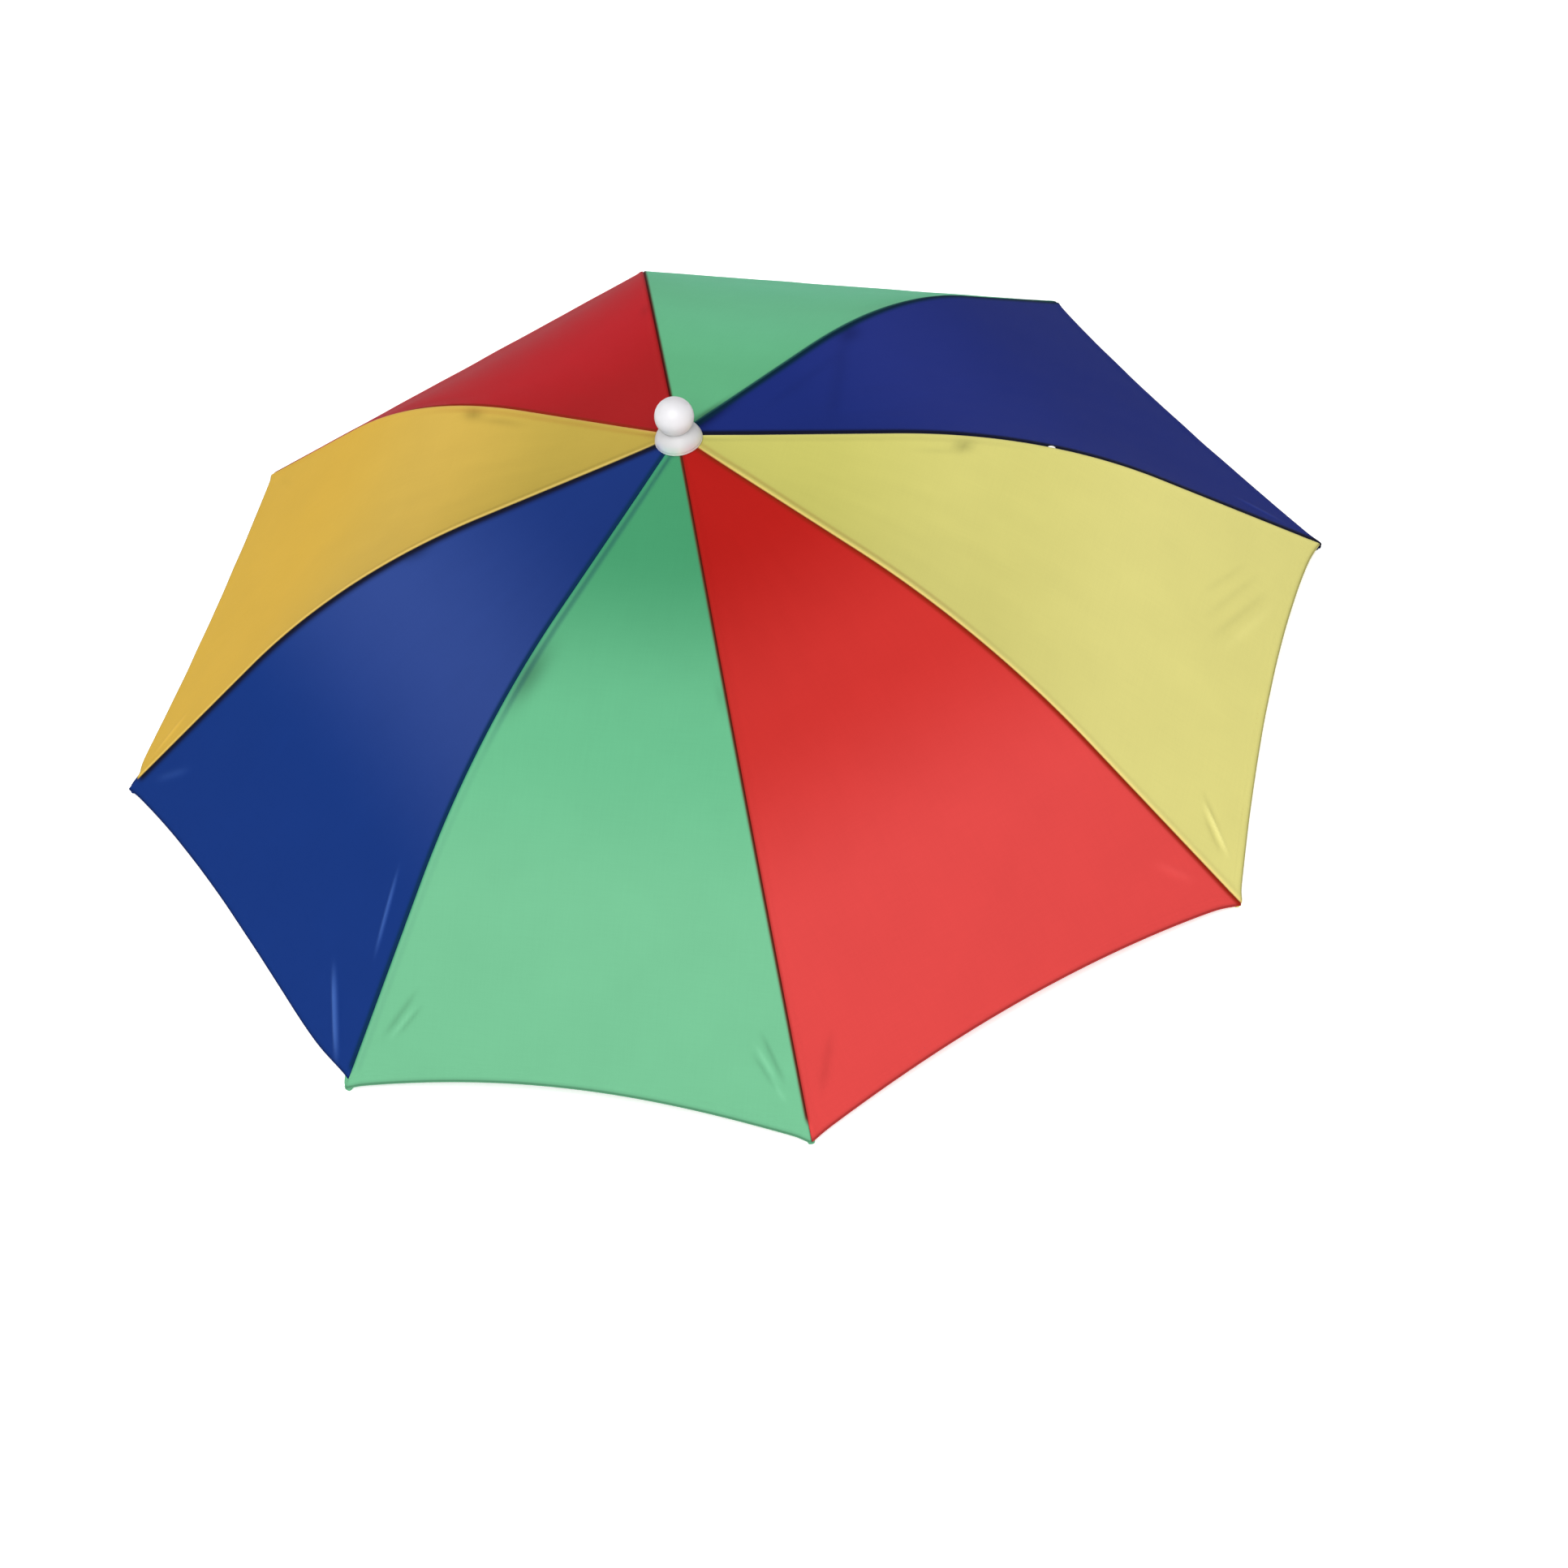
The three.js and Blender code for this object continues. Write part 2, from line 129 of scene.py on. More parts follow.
def srgb(red, green, blue):
    """A colour of the screen, 0 to 255, as linear values."""
    share = np.array([red, green, blue]) / 255
    return np.where(share <= 0.04045, share / 12.92, ((share + 0.055) / 1.055) ** 2.4)


def table(columns, *rows):
    """Rows of values under named columns, each as a dict."""
    return [dict(zip(columns.split(), row)) for row in rows]


# Each panel: the cloth's own colour at the crown, the bend and the rim, with painted light in it: painted
# shade at the crown, where less light comes through the cloth, and a painted highlight at the bend and the
# rim; how far its hem is cut back as a share of SCALLOP, where that is deepest, and how its two edges are
# sewn
PANELS = table(
    "name slot crown bend rim scallop deepest sides",
    ("panel_green_back", "cloth_green", srgb(97, 176, 128), srgb(107, 188, 143), srgb(111, 199, 157),
     1, 0.5, (PLAIN_SIDE, RAISED_SIDE)),
    ("panel_blue_back", "cloth_blue", srgb(28, 43, 113), srgb(37, 49, 122), srgb(31, 44, 118),
     0.9, 0.45, (PLAIN_SIDE, PLAIN_SIDE)),
    ("panel_yellow_right", "cloth_yellow", srgb(183, 179, 95), srgb(195, 189, 110), srgb(206, 199, 121),
     0.85, 0.42, (RAISED_SIDE, RAISED_SIDE)),
    ("panel_red_front", "cloth_red", srgb(159, 26, 22), srgb(178, 44, 40), srgb(192, 62, 60),
     0.9, 0.47, (PLAIN_SIDE, RAISED_SIDE)),
    ("panel_green_front", "cloth_green", srgb(61, 135, 94), srgb(90, 161, 120), srgb(100, 165, 126),
     1.05, 0.52, (PLAIN_SIDE, RAISED_SIDE)),
    ("panel_blue_left", "cloth_blue", srgb(25, 47, 108), srgb(43, 64, 126), srgb(20, 48, 112),
     0.55, 0.65, (PLAIN_SIDE, PLAIN_SIDE)),
    ("panel_yellow_left", "cloth_yellow", srgb(176, 153, 68), srgb(199, 167, 77), srgb(209, 170, 68),
     0.75, 0.45, (RAISED_SIDE, RAISED_SIDE)),
    ("panel_red_back", "cloth_red", srgb(163, 32, 34), srgb(184, 35, 42), srgb(178, 48, 56),
     1, 0.5, (PLAIN_SIDE, RAISED_SIDE)),
)
TONE_RUNS = (55, 145, 235)  # where the crown's painted shade starts to go, and the bend's and the rim's painted highlight are full
FOLD_SHADE = 0.4  # how much a crease is darkened by painted shade, and a ridge lightened, for its height over its width
FOLD_SHINE = 0.22  # how far a ridge takes on a painted highlight, a lighter shade of its colour
HEM_SHADE = 0.55
HEM_LINE = 0.55  # from the hem to the middle of its line of painted shade, and half its width

# A seam's lines of painted shade and painted highlight, as distances from the seam
LINE_FADE = np.array([0.5, 1.7])  # where a plain side's line fades, as shares of its width
FOLD_LINE = 0.9  # how far a raised side's fold takes on the line's colour
FOLD_LINE_FADE = (0.1, 0.4)
LIP_FADE = (0.6, 1.35)
EDGE_LINE = 2.8  # the painted shade line past a raised edge, over the allowance under it
EDGE_LINE_WIDTH = 1.1
EDGE_LINE_LOSS = 0.8  # the share of that line that is lost
EDGE_LINE_RUNS = (130, 170)  # between these runs

# The seam over each rib: the colour of the painted shadow line in its fold and how wide that is, the colour
# of the painted highlight on the raised edge beside it and how far it takes that on, how dark the painted
# shade line past that edge is, and how far before the tip they all stop
SEAMS = table(
    "line width lip share edge stop",
    (srgb(74, 30, 24), 0.9, srgb(120, 22, 20), 0.4, 0.0, 0),
    (srgb(10, 38, 58), 2.0, srgb(16, 50, 66), 0.9, 0.0, 0),
    (srgb(18, 20, 38), 2.8, srgb(206, 200, 140), 0.4, 0.12, 0),
    (srgb(132, 30, 14), 1.6, srgb(222, 178, 108), 0.4, 0.25, 0),
    (srgb(82, 36, 22), 0.8, srgb(120, 24, 16), 0.4, 0.0, 5),
    (srgb(12, 42, 74), 1.8, srgb(48, 132, 104), 0.6, 0.5, 5),
    (srgb(18, 20, 36), 2.6, srgb(212, 188, 120), 0.3, 0.12, 5),
    (srgb(132, 38, 22), 1.2, srgb(214, 158, 96), 0.6, 0.2, 0),
)
RIBS = len(PANELS)

# The hem's corners at each rib: the panel whose corner holds the rib's tip, how far that corner
# reaches past the tip, how far the other panel's does and over what length of hem, how far to the
# left of the rib the pocket's cap is, and the pocket's brightness as a share of the rim's: painted shade
CORNERS = table(
    "rib panel past other spread aside shade",
    (1, "panel_red_back", 0.8, 0.6, 8, 0.2, 0.9),
    (2, "panel_blue_back", 1.0, 0.4, 8, -0.2, 0.7),
    (3, "panel_blue_back", 2.2, 0.8, 8, 0.2, 0.35),
    (4, "panel_yellow_right", 0.9, 1.4, 6, 0.1, 0.9),
    (5, "panel_green_front", 1.0, 0.5, 5, -0.2, 0.9),
    (6, "panel_green_front", 0.8, -3.5, 20, 0, 0.95),
    (7, "panel_blue_left", 0.8, -6.0, 9, 0, 0.85),
    (8, "panel_yellow_left", 1.0, 0.4, 8, 0.2, 0.9),
)
PAST_SPREAD = 4.0  # how far along the hem the reach of the corner that holds the tip fades

# Small folds. Side 0 is a panel's first rib and side 1 its second. Each end is the run along the
# rib and the distance from that side's seam. A ridge has a positive height, and a crease a negative.
FOLDS = table(
    "panel side start end width height",
    ("panel_green_front", 1, (272, 15), (292, 8.5), 1.3, -0.6),
    ("panel_green_front", 1, (279, 17.5), (293, 12), 1.2, 0.2),
    ("panel_green_front", 1, (278, 20), (291, 14.5), 1.0, -0.4),
    ("panel_green_front", 0, (279, 16), (292, 10.5), 1.1, 0.22),
    ("panel_green_front", 0, (274, 12.5), (293, 7), 1.2, -0.6),
    ("panel_green_front", 0, (283, 18), (297, 11), 1.1, -0.4),
    ("panel_green_front", 0, (291, 13.5), (301, 8), 1.2, 0.2),
    ("panel_red_front", 1, (280, 18), (300, 9), 2.4, -0.6),
    ("panel_red_front", 0, (284, 16), (298, 9), 2.2, 0.25),
    ("panel_yellow_right", 1, (288, 27), (304, 15.5), 1.2, 0.6),
    ("panel_yellow_right", 1, (289, 22.5), (301, 13.5), 1.8, -0.45),
    ("panel_yellow_right", 1, (286, 33), (298, 24), 2.0, -0.35),
    ("panel_yellow_right", 0, (294, 42), (272, 78), 2.2, -0.45),
    ("panel_yellow_right", 0, (299, 49), (280, 82), 2.2, 0.2),
    ("panel_yellow_right", 0, (287, 34), (267, 66), 2.0, -0.35),
    ("panel_yellow_right", 0, (279, 30), (262, 54), 1.8, -0.25),
    ("panel_blue_left", 0, (231, 16.5), (262, 11.5), 1.0, 0.6),
    ("panel_blue_left", 0, (286, 33), (311, 12), 1.6, 1.2),
    ("panel_blue_left", 1, (285, 18), (301, 9), 2.0, 0.3),
    ("panel_blue_back", 0, (122, 3), (76, 42), 4.2, -0.9),
    ("panel_blue_back", 0, (54, 14), (112, 11), 2.6, -0.4),
    ("panel_blue_back", 1, (282, 17), (300, 9), 1.8, 0.45),
    ("panel_yellow_left", 0, (282, 17), (300, 9), 1.8, 0.4),
    ("panel_yellow_left", 1, (280, 19), (299, 9), 2.0, -0.15),
    ("panel_red_back", 0, (280, 18), (300, 9), 2.0, 0.4),
    ("panel_green_back", 1, (281, 18), (300, 9), 2.0, 0.4),
    ("panel_green_back", 1, (150, 9), (285, 9), 8, -1.4),
    ("panel_red_back", 0, (150, 9), (285, 9), 8, -1.6),
)

FOLD_ENDS = (-0.2, 0.35)  # where a fold grows, as shares of its length from either end

# Faint waves along a panel: how many cross it, how many turns they make in a millimetre along it,
# their size, and how far each panel's are shifted from the last one's
RIPPLES = table("across along size shift", (4.2, 0.006, 0.07, 1.7), (7.3, -0.011, 0.042, 3.91))
RIPPLE_RUNS = (30, 120)  # where they grow

# Painted shadows of the frame's joints seen through the cloth, and dark wedges of painted shade beside the
# knob: place as above, length along the run
PAINTED_SHADOWS = table(
    "panel side run away length width strength",
    ("panel_yellow_right", 0, 127, 5.5, 4.2, 3.4, 0.32),
    ("panel_yellow_right", 0, 116, 9, 9, 1.6, 0.08),
    ("panel_yellow_left", 1, 125, 4.5, 6, 3.2, 0.32),
    ("panel_yellow_left", 1, 106, 7.5, 13, 2.0, 0.15),
    ("panel_green_front", 1, 127, 4, 14, 5.5, 0.42),
    ("panel_green_front", 0, 129, 2.5, 6, 2, 0.12),
    ("panel_blue_back", 0, 122, 4, 7, 5, 0.3),
    ("panel_blue_back", 0, 20, 1.5, 16, 3, 0.6),
    ("panel_green_back", 1, 22, 1.5, 14, 2.4, 0.5),
    ("panel_blue_left", 1, 127, 3.5, 6, 2.4, 0.3),
    ("panel_red_back", 1, 128, 3, 6, 2.4, 0.15),
)

crown_slope = math.radians(CROWN_SLOPE)
rim_slope = math.radians(RIM_SLOPE)
bend_end = BEND_START + BEND_RADIUS * (math.sin(rim_slope) - math.sin(crown_slope))
crown_run = BEND_START / math.cos(crown_slope)
bend_run = BEND_RADIUS * (rim_slope - crown_slope)
rib_run = crown_run + bend_run + (REACH - bend_end) / math.cos(rim_slope)
rib_depth = CLOTH + RIB_CLEARANCE + RIB_RADIUS


# The canopy's form

def rib_profile(run):
    """How far out and how far below the peak the cloth over a rib is, and its slope."""
    slope = crown_slope + np.clip((run - crown_run) / BEND_RADIUS, 0, rim_slope - crown_slope)
    inner = np.minimum(run, crown_run)
    outer = np.maximum(run - crown_run - bend_run, 0)
    out = (
        inner * math.cos(crown_slope)
        + BEND_RADIUS * (np.sin(slope) - math.sin(crown_slope))
        + outer * math.cos(rim_slope)
    )
    drop = (
        inner * math.sin(crown_slope)
        + BEND_RADIUS * (math.cos(crown_slope) - np.cos(slope))
        + outer * math.sin(rim_slope)
    )
    return out, drop, slope


tip_height = FOOT_HEIGHT + rib_depth * math.cos(rim_slope)
peak = tip_height + float(rib_profile(np.array(rib_run))[1])


def read_rib(number):
    """A rib's angle about the axis, and its reach as a share of REACH, from its foot in the CAD."""
    points = np.array([v.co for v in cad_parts[f"rib_{number}"].data.vertices]) / MM
    foot = np.unique(points[points[:, 2] < 0.01].round(3), axis=0).mean(0)
    out = math.hypot(foot[0], foot[1]) + rib_depth * math.sin(rim_slope)
    return {"angle": math.atan2(foot[1], foot[0]), "reach": out / REACH}


ribs = [read_rib(number) for number in range(1, RIBS + 1)]


def over_rib(rib, run, aside=0.0):
    """Points of the cloth's face over a rib, `aside` to its left, and the directions out of the cloth."""
    out, drop, slope = rib_profile(run)
    normal_out = np.sin(slope)
    normal_up = rib["reach"] * np.cos(slope)
    size = np.hypot(normal_out, normal_up)
    cosine, sine = math.cos(rib["angle"]), math.sin(rib["angle"])
    along = rib["reach"] * out
    points = np.stack([along * cosine - aside * sine, along * sine + aside * cosine, peak - drop], -1)
    normals = np.stack([normal_out * cosine, normal_out * sine, normal_up], -1) / size[..., None]
    return points, normals


def under_rib(rib, run, depth, aside=0.0):
    points, normals = over_rib(rib, np.asarray(run, float), aside)
    return points - depth * normals


def arch(share):
    """A parabola that is 0 at both ends and 1 in the middle."""
    return 4 * share * (1 - share)


def smooth(low, high, value):
    """A step that rises smoothly from 0 at `low` to 1 at `high`."""
    share = np.clip((value - low) / (high - low), 0, 1)
    return share * share * (3 - 2 * share)


def hump(*distances):
    """1 where every distance is 0, and less the larger they are."""
    return np.exp(-sum(distance**2 for distance in distances))


def curve(start, corner, end, share):
    """Points of a bend from one point to another, drawn towards a corner."""
    return (1 - share) ** 2 * start + 2 * share * (1 - share) * corner + share**2 * end


def round_turn(steps):
    """Angles that go once round."""
    return np.arange(steps) * 2 * math.pi / steps


def direction_of(rib):
    """The level directions along a rib, outwards, and across it."""
    cosine, sine = math.cos(rib["angle"]), math.sin(rib["angle"])
    return np.array([cosine, sine, 0]), np.array([-sine, cosine, 0])


# Meshes

def grid_faces(rows, columns, round_rows=False, round_columns=False):
    """Faces of a grid of points, which may close on itself either way."""
    faces = []
    for row in range(rows if round_rows else rows - 1):
        for column in range(columns if round_columns else columns - 1):
            here, below = row * columns, (row + 1) % rows * columns
            beside = (column + 1) % columns
            faces.append((here + column, here + beside, below + beside, below + column))
    return faces


def ring_faces(rows, columns):
    """Faces of a stack of rings of points, closed at both ends."""
    first = tuple(range(columns))[::-1]
    last = tuple((rows - 1) * columns + corner for corner in range(columns))
    return grid_faces(rows, columns, round_columns=True) + [first, last]


def joined(parts):
    """One list of points and faces from several."""
    points, faces, count = [], [], 0
    for part_points, part_faces in parts:
        points.append(part_points)
        faces += [tuple(corner + count for corner in face) for face in part_faces]
        count += len(part_points)
    return np.concatenate(points), faces


AXIS = 0.01  # a radius that stands for a point on an axis
ANY_DIRECTION = (0.31, 0.52, 0.8)  # that no bar here begins along


def tube(path, radius, sides):
    """A round bar along a path, closed at both ends. The radius may change along the path."""
    radius = np.broadcast_to(radius, len(path))
    tangents = np.gradient(path, axis=0)
    tangents /= np.linalg.norm(tangents, axis=1)[:, None]
    side = np.cross(tangents[0], ANY_DIRECTION)
    turn = round_turn(sides)[:, None]
    rings = []
    for point, tangent, size in zip(path, tangents, radius):
        side = side - tangent * (side @ tangent)
        side /= np.linalg.norm(side)
        other = np.cross(tangent, side)
        rings.append(point + size * (np.cos(turn) * side + np.sin(turn) * other))
    return np.concatenate(rings), [face[::-1] for face in ring_faces(len(path), sides)]


def turned(profile, sides, centre=(0, 0, 0)):
    """A profile of radius and height pairs, turned about an upright axis and closed at both ends."""
    profile = np.asarray(profile, float)
    turn = round_turn(sides)
    radius, height = profile[:, :1], np.broadcast_to(profile[:, 1:], (len(profile), sides))
    points = np.stack([radius * np.cos(turn), radius * np.sin(turn), height], -1)
    return points.reshape(-1, 3) + centre, ring_faces(len(profile), sides)


def add_object(name, data):
    """A new object in the scene."""
    thing = bpy.data.objects.new(name, data)
    bpy.context.scene.collection.objects.link(thing)
    return thing


def make(name, part, material, replaced=()):
    """A smooth-shaded piece that rides on the hat's one body."""
    points, faces = part
    mesh = bpy.data.meshes.new(name)
    mesh.from_pydata((points * MM).tolist(), [], faces)
    mesh.update()
    mesh.shade_smooth()
    mesh.materials.append(material)
    piece = add_object(name, mesh)
    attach(piece, "root")
    if replaced:
        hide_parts(*replaced)
    return piece


# Materials

class Nodes:
    """A material's node tree, with short ways to add to it."""

    def __init__(self, name):
        self.material = bpy.data.materials.new(name)
        self.material.use_nodes = True
        self.tree = self.material.node_tree
        self.shader = self.tree.nodes["Principled BSDF"]

    def add(self, kind, inputs=(), **settings):
        """A node with its settings, and inputs as pairs of a socket and a value or another node's output."""
        node = self.tree.nodes.new(kind)
        for key, value in settings.items():
            setattr(node, key, value)
        for socket, value in inputs:
            self.put(node.inputs[socket], value)
        return node

    def put(self, socket, value):
        if isinstance(value, bpy.types.NodeSocket):
            self.tree.links.new(value, socket)
        else:
            socket.default_value = value

    def math(self, operation, first, second=0.0):
        node = self.add("ShaderNodeMath", [(0, first), (1, second)], operation=operation)
        return node.outputs[0]

    def set(self, **sockets):
        """The shader's own sockets, by their names with _ for each space."""
        for name, value in sockets.items():
            self.put(self.shader.inputs[name.replace("_", " ")], value)

    def bump(self, height, distance, strength):
        inputs = [("Height", height), ("Distance", distance), ("Strength", strength)]
        self.set(Normal=self.add("ShaderNodeBump", inputs).outputs[0])

    def noise(self, vector, scale, detail=2.0):
        inputs = [("Vector", vector), ("Scale", scale), ("Detail", detail)]
        return self.add("ShaderNodeTexNoise", inputs).outputs["Fac"]

    def spread(self, value, low, high, start=0.0, end=1.0):
        """A value between `start` and `end`, spread over `low` to `high`."""
        inputs = [("Value", value), ("From Min", start), ("From Max", end), ("To Min", low), ("To Max", high)]
        return self.add("ShaderNodeMapRange", inputs).outputs[0]

    def mix(self, factor, low, high):
        """A colour between two. Sockets 6 and 7 take the colours, and output 2 gives the mix."""
        inputs = [(0, factor), (6, (*low, 1)), (7, (*high, 1))]
        return self.add("ShaderNodeMix", inputs, data_type="RGBA").outputs[2]

    def object_space(self):
        return self.add("ShaderNodeTexCoord").outputs["Object"]

    def tint(self):
        """The colour that a piece's points hold."""
        return self.add("ShaderNodeAttribute", attribute_name="tint").outputs["Color"]

    def cut(self):
        """The place in a piece's flat cut, in millimetres, whole and in its two parts."""
        place = self.add("ShaderNodeUVMap", uv_map="cut").outputs[0]
        parts = self.add("ShaderNodeSeparateXYZ", [(0, place)])
        return place, parts.outputs[0], parts.outputs[1]

    def stretched(self, vector, across, along):
        return self.add("ShaderNodeMapping", [(0, vector), ("Scale", (across, along, 1))]).outputs[0]

    def wave(self, value, pitch):
        return self.math("SINE", self.math("MULTIPLY", value, 2 * math.pi / pitch))


WHITE = (1, 1, 1, 1)
THREAD_PITCH = 0.5  # of the weave, in millimetres
KNIT_PITCHES = (1.1, 0.8)  # of the elastic, round the band and up it
GLOW_DEPTH = 0.004  # how far light goes into white plastic, in metres


def cloth_material(name):
    """Fine woven polyester. Its colour comes from the mesh, and its weave follows the cut."""
    nodes = Nodes(name)
    place, across, along = nodes.cut()
    weave = nodes.math("MULTIPLY", nodes.wave(across, THREAD_PITCH), nodes.wave(along, THREAD_PITCH))
    slubs = nodes.noise(nodes.stretched(place, 0.05, 1.6), scale=1.0, detail=3.0)
    warp = nodes.noise(nodes.stretched(place, 1.3, 0.04), scale=1.0, detail=3.0)
    cloud = nodes.noise(place, scale=0.03)
    uneven = nodes.math("ADD", nodes.math("ADD", slubs, warp), nodes.math("MULTIPLY", cloud, 1.5))
    shade = nodes.spread(uneven, 0.97, 1.03, start=1.1, end=2.4)
    colour = nodes.add("ShaderNodeVectorMath", [(0, nodes.tint()), (3, shade)], operation="SCALE")
    nodes.set(Base_Color=colour.outputs[0], Roughness=0.7, IOR=1.42, Specular_IOR_Level=0.02)
    height = nodes.math("ADD", nodes.math("MULTIPLY", weave, 0.5), nodes.math("MULTIPLY", slubs, 0.8))
    nodes.bump(height, distance=0.00003, strength=0.6)
    return nodes.material


def plastic_material(name, colour, roughness, glow=0.0, tinted=False):
    """Smooth moulded plastic with a faint unevenness. Light soaks into it as far as `glow` says."""
    nodes = Nodes(name)
    noise = nodes.noise(nodes.object_space(), scale=260.0, detail=3.0)
    base = nodes.mix(noise, [channel * 0.97 for channel in colour], colour)
    if tinted:
        inputs = [(0, base), (1, nodes.tint())]
        base = nodes.add("ShaderNodeVectorMath", inputs, operation="MULTIPLY").outputs[0]
    nodes.set(Base_Color=base, Roughness=nodes.spread(noise, roughness * 0.85, roughness * 1.15))
    nodes.set(Subsurface_Weight=glow, Subsurface_Radius=(1, 1, 1), Subsurface_Scale=GLOW_DEPTH)
    nodes.bump(noise, distance=0.00004, strength=0.35)
    return nodes.material


def wire_material(name):
    """Drawn steel wire: fine marks all over it and a slightly uneven shine."""
    nodes = Nodes(name)
    noise = nodes.noise(nodes.object_space(), scale=900.0, detail=4.0)
    colour = nodes.mix(noise, (0.42, 0.42, 0.42), (0.58, 0.58, 0.58))
    nodes.set(Base_Color=colour, Roughness=nodes.spread(noise, 0.22, 0.42), Metallic=0.95)
    nodes.bump(noise, distance=0.00002, strength=0.5)
    return nodes.material


def elastic_material(name):
    """Woven elastic: upright rubber threads under a close knit."""
    nodes = Nodes(name)
    _, around, upwards = nodes.cut()
    across, along = nodes.wave(around, KNIT_PITCHES[0]), nodes.wave(upwards, KNIT_PITCHES[1])
    knit = nodes.math("ADD", nodes.math("MULTIPLY", across, along), nodes.math("MULTIPLY", across, 0.5))
    shade = nodes.spread(knit, 0.0, 1.0, start=-1.5, end=1.5)
    colour = nodes.mix(shade, (0.62, 0.61, 0.57), (0.8, 0.79, 0.76))
    nodes.set(Base_Color=colour, Roughness=0.85, Sheen_Weight=0.2)
    fluff = nodes.noise(nodes.object_space(), scale=700.0, detail=3.0)
    nodes.bump(nodes.math("ADD", knit, fluff), distance=0.00012, strength=0.7)
    return nodes.material


def thread_material(name, colour):
    """Twisted sewing thread."""
    nodes = Nodes(name)
    noise = nodes.noise(nodes.object_space(), scale=2600.0)
    nodes.set(Base_Color=nodes.mix(noise, colour * 0.82, colour), Roughness=0.7)
    nodes.bump(noise, distance=0.0001, strength=0.5)
    return nodes.material


cloth = cloth_material("cloth")
# Each panel's hem thread takes its rim colour, with the painted light in it, a little darker
threads = {
    panel["slot"]: thread_material("thread_" + panel["slot"], panel["rim"] * STITCH_SHADE) for panel in PANELS
}
white_thread = thread_material("thread_white", srgb(236, 236, 230))
ball_plastic = plastic_material("ball_plastic", (0.63, 0.62, 0.64), 0.42, 0.6)
frosted_plastic = plastic_material("frosted_plastic", (0.52, 0.515, 0.52), 0.48, 0.5, tinted=True)
joint_plastic = plastic_material("joint_plastic", (0.78, 0.78, 0.78), 0.45)
steel = wire_material("steel_wire")
elastic = elastic_material("elastic")


# Canopy panels

def hem_run(index, share, away):
    """Where a panel's hem is, as a run along its ribs. `away` is the distance from each seam."""
    panel = PANELS[index]
    lean = math.log(0.5) / math.log(panel["deepest"])
    run = rib_run - SCALLOP * panel["scallop"] * arch(np.clip(share, 0, 1) ** lean)
    for side, distance in enumerate(away):
        corner = CORNERS[(index + side) % RIBS]
        if corner["panel"] == panel["name"]:
            run = run + corner["past"] * hump(distance / PAST_SPREAD)
        else:
            run = run + corner["other"] * hump(distance / corner["spread"])
    return run


def sag_depth(run, share):
    """How far the cloth hangs below straight lines between its two ribs."""
    return SAG * arch(share) * np.sin(math.pi * run / rib_run) ** 2


def column_places(width, sides):
    """For each row's width, every column's distance from the first seam as a share of the width, its
    depth below the face, and whether it crosses the first or the second seam."""
    first, second = (np.array(side) for side in sides)
    size = np.minimum(1, width / NARROW)[:, None]
    fine = np.linspace(0, FINE_ZONE, FINE_COLUMNS + 1)[1:]
    middle = np.linspace(FINE_ZONE, 1 - FINE_ZONE, PLAIN_COLUMNS + 1)[1:]
    inside = np.concatenate([fine, middle, (1 - fine[::-1])[1:]])
    edge = EDGE_ZONE * size
    width = width[:, None]
    left = first[:, 0] * size
    right = width - second[::-1, 0] * size
    places = np.concatenate([left, edge + (width - 2 * edge) * inside, right], 1) / width
    flat = np.zeros_like(inside)
    depths = np.concatenate([first[:, 1], flat, second[::-1, 1]])
    crossing = np.concatenate([np.where(first[:, 0] < 0, -1, 0), flat, np.where(second[::-1, 0] < 0, 1, 0)])
    return places, np.where(depths < 0, depths * size, np.broadcast_to(depths, places.shape)), crossing


def fold_relief(panel, run, away):
    """The height of the panel's small folds, and their shine: painted highlight on ridges and painted shade
    in creases.
    """
    height, shine = np.zeros_like(run), np.zeros_like(run)
    for fold in FOLDS:
        if fold["panel"] != panel["name"]:
            continue
        start, end = np.array(fold["start"], float), np.array(fold["end"], float)
        length = np.linalg.norm(end - start)
        direction = (end - start) / length
        run_from, away_from = run - start[0], away[fold["side"]] - start[1]
        along = (run_from * direction[0] + away_from * direction[1]) / length
        beside = (away_from * direction[0] - run_from * direction[1]) / fold["width"]
        ends = smooth(*FOLD_ENDS, along) * smooth(*FOLD_ENDS, 1 - along)
        ridge = fold["height"] * hump(beside) * ends
        height += ridge
        shine += ridge / fold["width"]
    return height, shine


def ripple_relief(index, run, share):
    """Faint waves along a panel, where the cloth is pulled towards the ribs' tips."""
    waves = np.zeros_like(run)
    for ripple in RIPPLES:
        turns = ripple["across"] * share + ripple["along"] * run
        waves += ripple["size"] * np.sin(2 * math.pi * turns + ripple["shift"] * index)
    return waves * arch(share) * smooth(*RIPPLE_RUNS, run)


def blend(colour, target, share):
    """A colour taken as far towards another as each point's share says."""
    return colour + (target - colour) * share[..., None]


